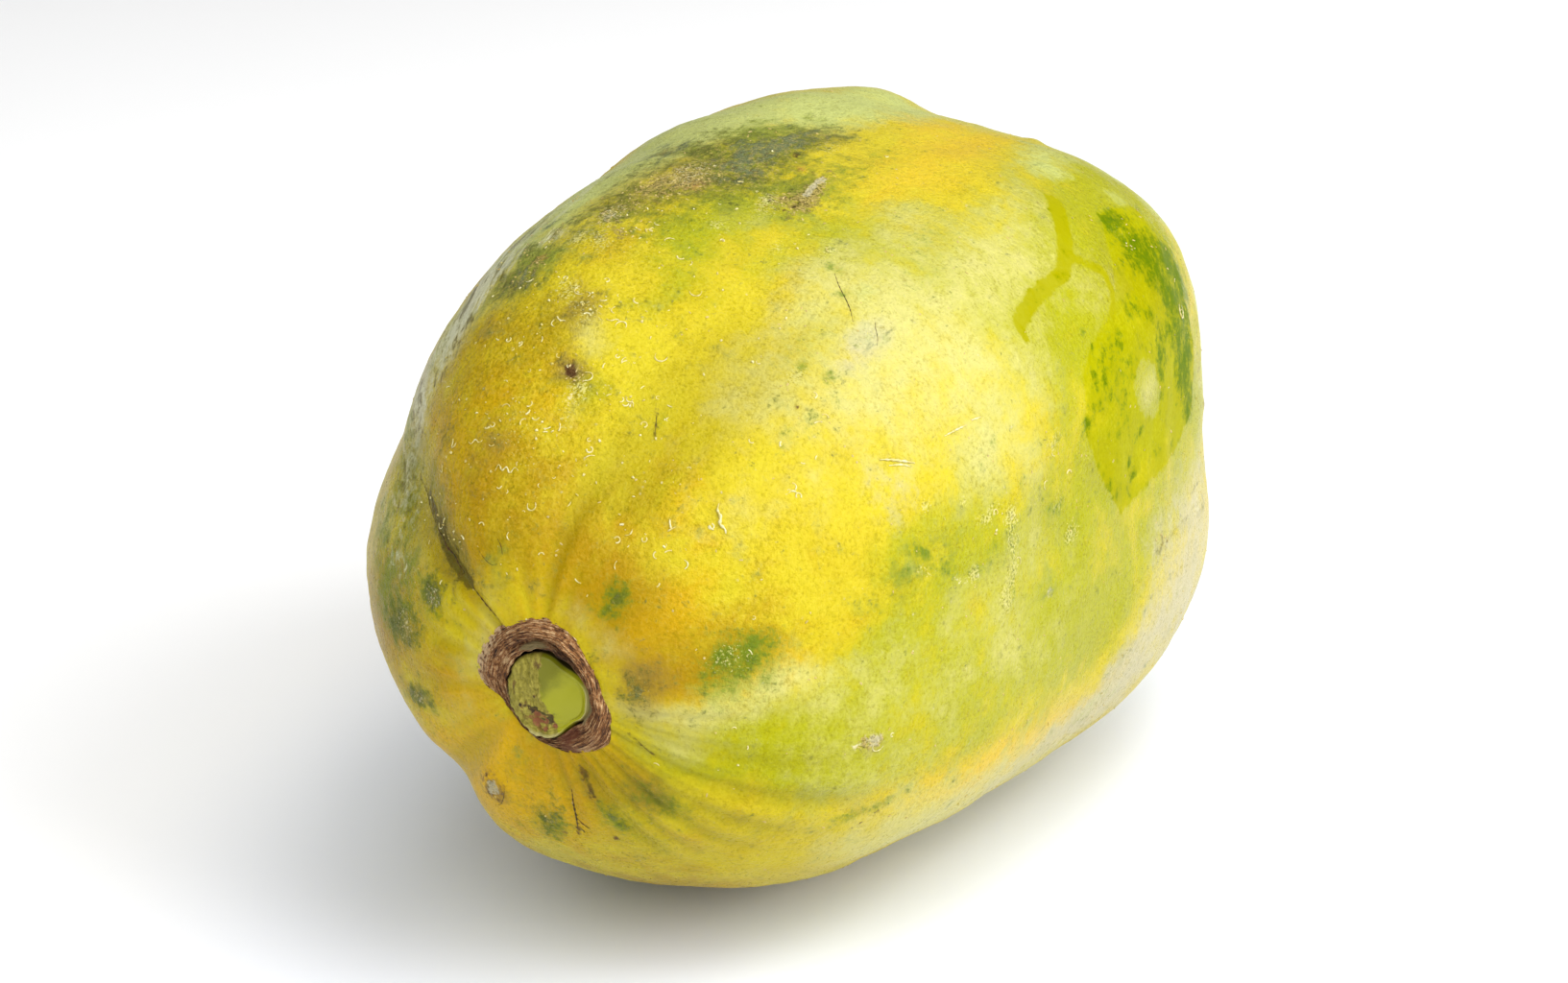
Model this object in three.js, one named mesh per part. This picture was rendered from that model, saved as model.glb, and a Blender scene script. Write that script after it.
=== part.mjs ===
// Papaya lying on its side: the fruit, the corky ring of its stem scar, and the stub of the stem.
// Millimetres, +Z up. The fruit's length runs along Y with the stem end at -Y. It rests on a small flat spot.
// The origin is the centre of the bottom of the whole part's box.
import * as THREE from 'three';
import { mergeVertices } from 'three/addons/utils/BufferGeometryUtils.js';

// ---- Driving dimensions: millimetres and degrees ----

// The fruit's plain body, before the lobes swell it. Fullness 2 is an ellipse, and more is blunter.
const STEM_HALF = 105;
const BLOSSOM_HALF = 116;
const HALF_WIDTH = 60;
const HALF_HEIGHT = 62;
const STEM_FULLNESS = 2.25;
const BLOSSOM_FULLNESS = 2.1;

// Five lobes run from end to end. Angles go round the length: 0 is +X and 90 is +Z.
// Each one rises by its own amount at the stem shoulder and the blossom shoulder.
const LOBES = [
  { angle: 41, stemRise: 4, blossomRise: 8.5 },
  { angle: 119, stemRise: 10.5, blossomRise: 9 },
  { angle: 180, stemRise: 7.5, blossomRise: 4 },
  { angle: 247, stemRise: 3, blossomRise: 4 },
  { angle: 325, stemRise: 6.5, blossomRise: 11.5 },
];
const LOBE_SPREAD = 50;
const LOBE_WAIST_RISE = 5.6;
const STEM_SHOULDER = { at: 42, spread: 26 };
const WAIST = { at: 88, spread: 30 };
const BLOSSOM_SHOULDER = { at: 132, spread: 30 };
// The lobes and dents run out within about this angle of each end.
const RUN_OUT = 10;

// Hand-sized swellings and dents. "down" is the angle from the stem end, "round" the angle round the length.
const DENTS = [
  { down: 27, round: 224, rise: -1.2, spreadDown: 13, spreadRound: 8 },
  { down: 28, round: 243, rise: 0.9, spreadDown: 12, spreadRound: 8 },
  { down: 43, round: 154, rise: -1, spreadDown: 14, spreadRound: 8 },
  { down: 44, round: 295, rise: 1.1, spreadDown: 12, spreadRound: 8 },
  { down: 57, round: 309, rise: -0.8, spreadDown: 12, spreadRound: 8 },
  { down: 113, round: 114, rise: -1, spreadDown: 12, spreadRound: 6 },
  { down: 129, round: 98, rise: 1.3, spreadDown: 9, spreadRound: 5 },
  { down: 138, round: 91, rise: -0.8, spreadDown: 10, spreadRound: 6 },
  { down: 141, round: 6, rise: 1.2, spreadDown: 12, spreadRound: 8 },
  { down: 92, round: 284, rise: 2.4, spreadDown: 45, spreadRound: 16 },
];

// The skin draws in a little round the stem and at the blossom scar.
const STEM_HOLLOW = { depth: 2.5, spread: 12 };
const BLOSSOM_HOLLOW = { depth: 2, spread: 5 };

// Gentle taper to the stem end, and the bend of the length, in millimetres at 100 mm from the middle.
const TAPER = 0.04;
const BEND_X = 2.1;
const BEND_Z = -3.4;

// How far the fruit flattens where it rests.
const REST_SINK = 2.5;

// Stem scar: a round socket in the fruit, the ring seated in it, and the stub inside the ring.
// The scar sits a little off the line of the length, and the stub off the scar's middle.
const SCAR_OFFSET = { x: -1.8, z: 1.5, spread: 18 };
const STUB_OFFSET = { x: 1, z: -1.4 };
const GAP = 0.3;
const SOCKET_DEPTH = 5;
const RING_RADIUS = 12;
const RING_HOLE_RADIUS = 7.9;
const RING_CREST = { radius: 10, height: 2.2, wave: 0.7 };
const RING_LIP = 0.6;
const STUB_RADIUS = 7.5;
const STUB_CREST = { height: 1.4, lean: 0.5 };
const STUB_FLAT_RADIUS = 4.5;
const STUB_SHOULDER = { radius: 6.8, drop: 0.5 };
const STUB_EDGE_DROP = 1.6;

// Mesh fineness.
const COLUMNS = 56;
const SKIN_ROWS = 42;

// Materials.
const WAXY_SKIN = new THREE.MeshStandardMaterial({ color: '#d8c43c', roughness: 0.45, metalness: 0 });
const CORKY_SCAR = new THREE.MeshStandardMaterial({ color: '#a8825a', roughness: 0.8, metalness: 0 });
const GREEN_STEM = new THREE.MeshStandardMaterial({ color: '#a9a63e', roughness: 0.5, metalness: 0 });

// ---- The skin's shape ----

const radians = (degrees) => degrees * Math.PI / 180;

// A smooth bump: 1 at the middle, fading out over about twice the spread. Both in degrees.
function bell(offset, spread) {
  return Math.exp(-((offset / spread) ** 2));
}

// The shorter way round from one angle to another, in degrees.
function turnBetween(from, to) {
  return ((to - from + 540) % 360) - 180;
}

// Distance from the fruit's centre to its skin.
function skinRadius(down, round) {
  const across = Math.sin(radians(down));
  const along = Math.cos(radians(down));
  const sideways = Math.cos(radians(round));
  const upwards = Math.sin(radians(round));
  const girth = 1 / Math.hypot(sideways / HALF_WIDTH, upwards / HALF_HEIGHT);
  const half = along > 0 ? STEM_HALF : BLOSSOM_HALF;
  const fullness = along > 0 ? STEM_FULLNESS : BLOSSOM_FULLNESS;
  let radius = ((across / girth) ** fullness + (Math.abs(along) / half) ** fullness) ** (-1 / fullness);
  const uneven = 1 - bell(down, RUN_OUT) - bell(180 - down, RUN_OUT);
  for (const lobe of LOBES) {
    const near = Math.max(0, 1 - Math.abs(turnBetween(lobe.angle, round)) / LOBE_SPREAD);
    const swell = uneven * near * near * (3 - 2 * near);
    radius += swell * lobe.stemRise * bell(down - STEM_SHOULDER.at, STEM_SHOULDER.spread);
    radius += swell * LOBE_WAIST_RISE * bell(down - WAIST.at, WAIST.spread);
    radius += swell * lobe.blossomRise * bell(down - BLOSSOM_SHOULDER.at, BLOSSOM_SHOULDER.spread);
  }
  for (const dent of DENTS) {
    const nearDown = bell(down - dent.down, dent.spreadDown);
    const nearRound = bell(turnBetween(dent.round, round), dent.spreadRound);
    radius += uneven * dent.rise * nearDown * nearRound;
  }
  radius -= STEM_HOLLOW.depth * bell(down, STEM_HOLLOW.spread);
  radius -= BLOSSOM_HOLLOW.depth * bell(180 - down, BLOSSOM_HOLLOW.spread);
  return radius;
}

// A point on the skin, with the fruit's centre at the origin.
function skinPoint(down, round) {
  const radius = skinRadius(down, round);
  const y = -radius * Math.cos(radians(down));
  const out = radius * Math.sin(radians(down));
  const widen = 1 + TAPER * y / 100;
  const nearScar = bell(down, SCAR_OFFSET.spread);
  const x = (out * Math.cos(radians(round)) + BEND_X * (y / 100) ** 2) * widen + SCAR_OFFSET.x * nearScar;
  const z = (out * Math.sin(radians(round)) + BEND_Z * (y / 100) ** 2) * widen + SCAR_OFFSET.z * nearScar;
  return new THREE.Vector3(x, y, z);
}

// ---- Turned meshes ----

// A closed profile turned round a line along Y through the stem end, as a named mesh.
// Profile points are (radius, y). shape(point, round, row) gives each turned point its place, or leaves it.
function turnedMesh(name, profile, shape, material) {
  const geometry = new THREE.LatheGeometry(profile, COLUMNS);
  const positions = geometry.getAttribute('position');
  for (let index = 0; index < positions.count; index += 1) {
    const row = index % profile.length;
    const round = (450 - 360 * Math.floor(index / profile.length) / COLUMNS) % 360;
    const point = new THREE.Vector3().fromBufferAttribute(positions, index);
    point.x += stemEnd.x;
    point.z += stemEnd.z;
    shape(point, round, row);
    positions.setXYZ(index, point.x, point.y, point.z);
  }
  geometry.deleteAttribute('uv');
  geometry.deleteAttribute('normal');
  const closed = mergeVertices(geometry);
  closed.computeVertexNormals();
  const mesh = new THREE.Mesh(closed, material);
  mesh.name = name;
  return mesh;
}

// The angle down from the stem end at which the skin is as wide as the socket.
function angleAtReach(reach) {
  let low = 0;
  let high = 30;
  for (let step = 0; step < 40; step += 1) {
    const middle = (low + high) / 2;
    const halfWidth = (skinPoint(middle, 0).x - skinPoint(middle, 180).x) / 2;
    if (halfWidth < reach) low = middle;
    else high = middle;
  }
  return (low + high) / 2;
}

// The socket and what is in it are turned round the line along Y through this point.
const stemEnd = skinPoint(0, 0);
const socketRadius = RING_RADIUS + GAP;
const rimAngle = angleAtReach(socketRadius);
const rimY = (round) => skinPoint(rimAngle, round).y;
const floorY = stemEnd.y + SOCKET_DEPTH;
const seatY = floorY - GAP;

// ---- The fruit: the socket's floor and wall, then rows of skin to the blossom end ----

function fruit() {
  const profile = [new THREE.Vector2(0, floorY), new THREE.Vector2(socketRadius, floorY)];
  const rimRow = profile.length;
  const downAt = (row) => rimAngle + (180 - rimAngle) * (row - rimRow) / SKIN_ROWS;
  for (let row = rimRow; row <= rimRow + SKIN_ROWS; row += 1) {
    const down = radians(downAt(row));
    profile.push(new THREE.Vector2(socketRadius * Math.sin(down) / Math.sin(radians(rimAngle)), 0));
  }
  profile[profile.length - 1].x = 0;
  const shape = (point, round, row) => {
    if (row === rimRow) point.y = rimY(round);
    else if (row > rimRow) point.copy(skinPoint(downAt(row), round));
  };
  const mesh = turnedMesh('fruit', profile, shape, WAXY_SKIN);
  flattenUnderside(mesh.geometry);
  return mesh;
}

// Raises everything under the resting plane to that plane.
function flattenUnderside(geometry) {
  geometry.computeBoundingBox();
  const restZ = geometry.boundingBox.min.z + REST_SINK;
  const positions = geometry.getAttribute('position');
  for (let index = 0; index < positions.count; index += 1) {
    positions.setZ(index, Math.max(positions.getZ(index), restZ));
  }
  geometry.computeBoundingBox();
  geometry.computeVertexNormals();
}

// ---- The stem scar's ring: widest at its upper left, where the hole is furthest from its middle ----

function scarRing() {
  const crestY = stemEnd.y - RING_CREST.height;
  const profile = [
    new THREE.Vector2(RING_HOLE_RADIUS, seatY),
    new THREE.Vector2(RING_HOLE_RADIUS, stemEnd.y),
    new THREE.Vector2((RING_CREST.radius + RING_HOLE_RADIUS) / 2, crestY + RING_LIP),
    new THREE.Vector2(RING_CREST.radius, crestY),
    new THREE.Vector2(RING_RADIUS, stemEnd.y),
    new THREE.Vector2(RING_RADIUS, seatY),
    new THREE.Vector2(RING_HOLE_RADIUS, seatY),
  ];
  // How far each row follows the stub's offset: the hole's wall and lip, the crest, then the outer wall.
  const offsetShare = [1, 1, 0.75, 0.5, 0, 0, 1];
  const outerRow = 4;
  const shape = (point, round, row) => {
    point.x += STUB_OFFSET.x * offsetShare[row];
    point.z += STUB_OFFSET.z * offsetShare[row];
    if (row === 2 || row === 3) point.y += RING_CREST.wave * Math.cos(radians(2 * (round - 45)));
    if (row === outerRow) point.y = rimY(round) - RING_LIP;
  };
  return turnedMesh('stem_scar_ring', profile, shape, CORKY_SCAR);
}

// ---- The stub: a low plug with a rounded edge, leaning so that its lower side stands higher ----

function stemStub() {
  const topY = stemEnd.y - STUB_CREST.height;
  const profile = [
    new THREE.Vector2(0, topY),
    new THREE.Vector2(STUB_FLAT_RADIUS, topY),
    new THREE.Vector2(STUB_SHOULDER.radius, topY + STUB_SHOULDER.drop),
    new THREE.Vector2(STUB_RADIUS, topY + STUB_EDGE_DROP),
    new THREE.Vector2(STUB_RADIUS, seatY),
    new THREE.Vector2(0, seatY),
  ];
  const seatRow = 4;
  const shape = (point, round, row) => {
    if (row < seatRow) point.y += STUB_CREST.lean * (point.z - stemEnd.z) / STUB_RADIUS;
    point.x += STUB_OFFSET.x;
    point.z += STUB_OFFSET.z;
  };
  return turnedMesh('stem_stub', profile, shape, GREEN_STEM);
}

// ---- The whole part, with its origin at the centre of the bottom of its box ----

const papaya = new THREE.Group();
papaya.name = 'papaya';
papaya.add(fruit(), scarRing(), stemStub());
const box = new THREE.Box3().setFromObject(papaya);
for (const mesh of papaya.children) {
  mesh.geometry.translate(-(box.min.x + box.max.x) / 2, -(box.min.y + box.max.y) / 2, -box.min.z);
}

export default papaya;
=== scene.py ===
"""Papaya: the looks of a whole ripe fruit lying on its side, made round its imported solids."""
import math

import bpy
import numpy as np
from bpy.props import FloatProperty, FloatVectorProperty, IntProperty, PointerProperty
from bpy.types import Operator, Panel, PropertyGroup
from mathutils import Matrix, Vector


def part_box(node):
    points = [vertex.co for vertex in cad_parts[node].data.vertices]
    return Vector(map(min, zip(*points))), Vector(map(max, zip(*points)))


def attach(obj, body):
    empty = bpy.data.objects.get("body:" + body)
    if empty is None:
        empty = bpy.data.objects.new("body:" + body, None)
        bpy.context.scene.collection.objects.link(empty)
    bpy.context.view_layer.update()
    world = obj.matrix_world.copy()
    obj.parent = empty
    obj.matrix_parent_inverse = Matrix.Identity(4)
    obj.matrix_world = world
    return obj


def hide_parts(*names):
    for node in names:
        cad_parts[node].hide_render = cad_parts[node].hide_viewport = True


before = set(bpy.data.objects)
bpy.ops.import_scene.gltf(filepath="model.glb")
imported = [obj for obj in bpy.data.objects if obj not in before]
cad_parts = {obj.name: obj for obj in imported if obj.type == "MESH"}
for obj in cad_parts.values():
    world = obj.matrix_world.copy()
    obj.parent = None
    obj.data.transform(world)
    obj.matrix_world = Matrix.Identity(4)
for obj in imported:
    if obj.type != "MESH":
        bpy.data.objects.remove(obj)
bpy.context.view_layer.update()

bl_info = {
    "name": "Papaya",
    "version": (1, 0, 0),
    "blender": (4, 5, 0),
    "location": "View3D > Sidebar > Papaya",
    "description": "Builds a papaya's skin, stem scar, stem stub and dried latex, and a studio to see it in",
    "category": "Add Mesh",
}

MM = 0.001


def srgb(red, green, blue):
    """A colour given from 0 to 255 as the eye sees it, turned to linear light."""
    parts = []
    for value in (red, green, blue):
        share = value / 255
        parts.append(share / 12.92 if share <= 0.04045 else ((share + 0.055) / 1.055) ** 2.4)
    return tuple(parts)


# ---- The fruit's shape: the same rule and sizes as its solid, in millimetres and degrees ----

STEM_HALF, BLOSSOM_HALF = 105.0, 116.0
HALF_WIDTH, HALF_HEIGHT = 60.0, 62.0
STEM_FULLNESS, BLOSSOM_FULLNESS = 2.25, 2.1
# Each lobe: its angle round the length, its rise at the stem shoulder and at the blossom shoulder.
LOBES = ((41, 4, 8.5), (119, 10.5, 9), (180, 7.5, 4), (247, 3, 4), (325, 6.5, 11.5))
LOBE_SPREAD = 50.0
LOBE_WAIST_RISE = 5.6
# Where along the fruit the three rises are, and how far each one spreads.
STEM_SHOULDER, WAIST, BLOSSOM_SHOULDER = (42, 26), (88, 30), (132, 30)
RUN_OUT = 10.0
# Swellings and dents: angle down from the stem end, angle round, rise, spread down, spread round.
DENTS = (
    (27, 224, -1.2, 13, 8),
    (28, 243, 0.9, 12, 8),
    (43, 154, -1, 14, 8),
    (44, 295, 1.1, 12, 8),
    (57, 309, -0.8, 12, 8),
    (113, 114, -1, 12, 6),
    (129, 98, 1.3, 9, 5),
    (138, 91, -0.8, 10, 6),
    (141, 6, 1.2, 12, 8),
    (92, 284, 2.4, 45, 16),
)
STEM_HOLLOW, BLOSSOM_HOLLOW = (2.5, 12), (2, 5)
TAPER, BEND_X, BEND_Z = 0.04, 2.1, -3.4
# How far the stem end is shifted across and up, and how far down the shift spreads.
SCAR_OFFSET = (-1.8, 1.5, 18)
# How far the ring reaches into the fruit behind the stem end.
SEAT_DEPTH = 4.7


def bell(offset, spread):
    """A smooth bump: 1 in the middle, fading out over about twice the spread."""
    return np.exp(-((offset / spread) ** 2))


def smooth(low, high, value):
    """0 below low, 1 above high, and a smooth step between."""
    share = np.clip((value - low) / (high - low), 0, 1)
    return share * share * (3 - 2 * share)


def turn_between(start, end):
    """The shorter way round from one angle to another, in degrees."""
    return (end - start + 540) % 360 - 180


def skin_radius(down, around):
    """Distance from the fruit's centre to its plain skin."""
    across, along = np.sin(np.radians(down)), np.cos(np.radians(down))
    girth = 1 / np.hypot(np.cos(np.radians(around)) / HALF_WIDTH, np.sin(np.radians(around)) / HALF_HEIGHT)
    half = np.where(along > 0, STEM_HALF, BLOSSOM_HALF)
    fullness = np.where(along > 0, STEM_FULLNESS, BLOSSOM_FULLNESS)
    radius = ((across / girth) ** fullness + (np.abs(along) / half) ** fullness) ** (-1 / fullness)
    uneven = 1 - bell(down, RUN_OUT) - bell(180 - down, RUN_OUT)
    for angle, stem_rise, blossom_rise in LOBES:
        near = np.maximum(0, 1 - np.abs(turn_between(angle, around)) / LOBE_SPREAD)
        swell = uneven * near * near * (3 - 2 * near)
        for rise, (at, spread) in (
            (stem_rise, STEM_SHOULDER), (LOBE_WAIST_RISE, WAIST), (blossom_rise, BLOSSOM_SHOULDER)
        ):
            radius = radius + swell * rise * bell(down - at, spread)
    for at, angle, rise, spread_down, spread_round in DENTS:
        near_round = bell(turn_between(angle, around), spread_round)
        radius = radius + uneven * rise * bell(down - at, spread_down) * near_round
    radius = radius - STEM_HOLLOW[0] * bell(down, STEM_HOLLOW[1])
    return radius - BLOSSOM_HOLLOW[0] * bell(180 - down, BLOSSOM_HOLLOW[1])


def skin_point(down, around, lift=0.0):
    """Points on the skin, in millimetres about the fruit's centre. lift raises them along the radius."""
    down, around = np.broadcast_arrays(np.asarray(down, float), np.asarray(around, float))
    radius = skin_radius(down, around) + lift
    y = -radius * np.cos(np.radians(down))
    out = radius * np.sin(np.radians(down))
    widen = 1 + TAPER * y / 100
    near_scar = bell(down, SCAR_OFFSET[2])
    x = (out * np.cos(np.radians(around)) + BEND_X * (y / 100) ** 2) * widen + SCAR_OFFSET[0] * near_scar
    z = (out * np.sin(np.radians(around)) + BEND_Z * (y / 100) ** 2) * widen + SCAR_OFFSET[1] * near_scar
    return np.stack([x, y, z], -1)


def place_of_centre():
    """Where the fruit's centre is in the frame, in millimetres, from the ring's box."""
    low, high = (np.array(corner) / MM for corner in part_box("stem_scar_ring"))
    stem_end = skin_point(0, 0)
    middle = (low + high) / 2
    return np.array([middle[0] - stem_end[0], high[1] - SEAT_DEPTH - stem_end[1], middle[2] - stem_end[2]])


CENTRE = place_of_centre()
STEM_END = skin_point(0, 0)


def to_frame(points):
    """Millimetres about the fruit's centre, turned to metres in the frame."""
    return (points + CENTRE) * MM


def ripples(points, wavelength, seed, waves=20):
    """An even random relief of about -1 to 1, with features of one size, in any millimetre coordinates."""
    draw = np.random.default_rng(seed)
    relief = np.zeros(points.shape[:-1])
    for _ in range(waves):
        way = draw.normal(size=3)
        way *= 2 * math.pi / wavelength * draw.uniform(0.7, 1.4) / np.linalg.norm(way)
        relief += np.cos(points @ way + draw.uniform(0, 2 * math.pi))
    return relief * math.sqrt(2 / waves) * 0.7


# ---- Marks on the skin. Places are (angle down from the stem end, angle round the length) ----

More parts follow.
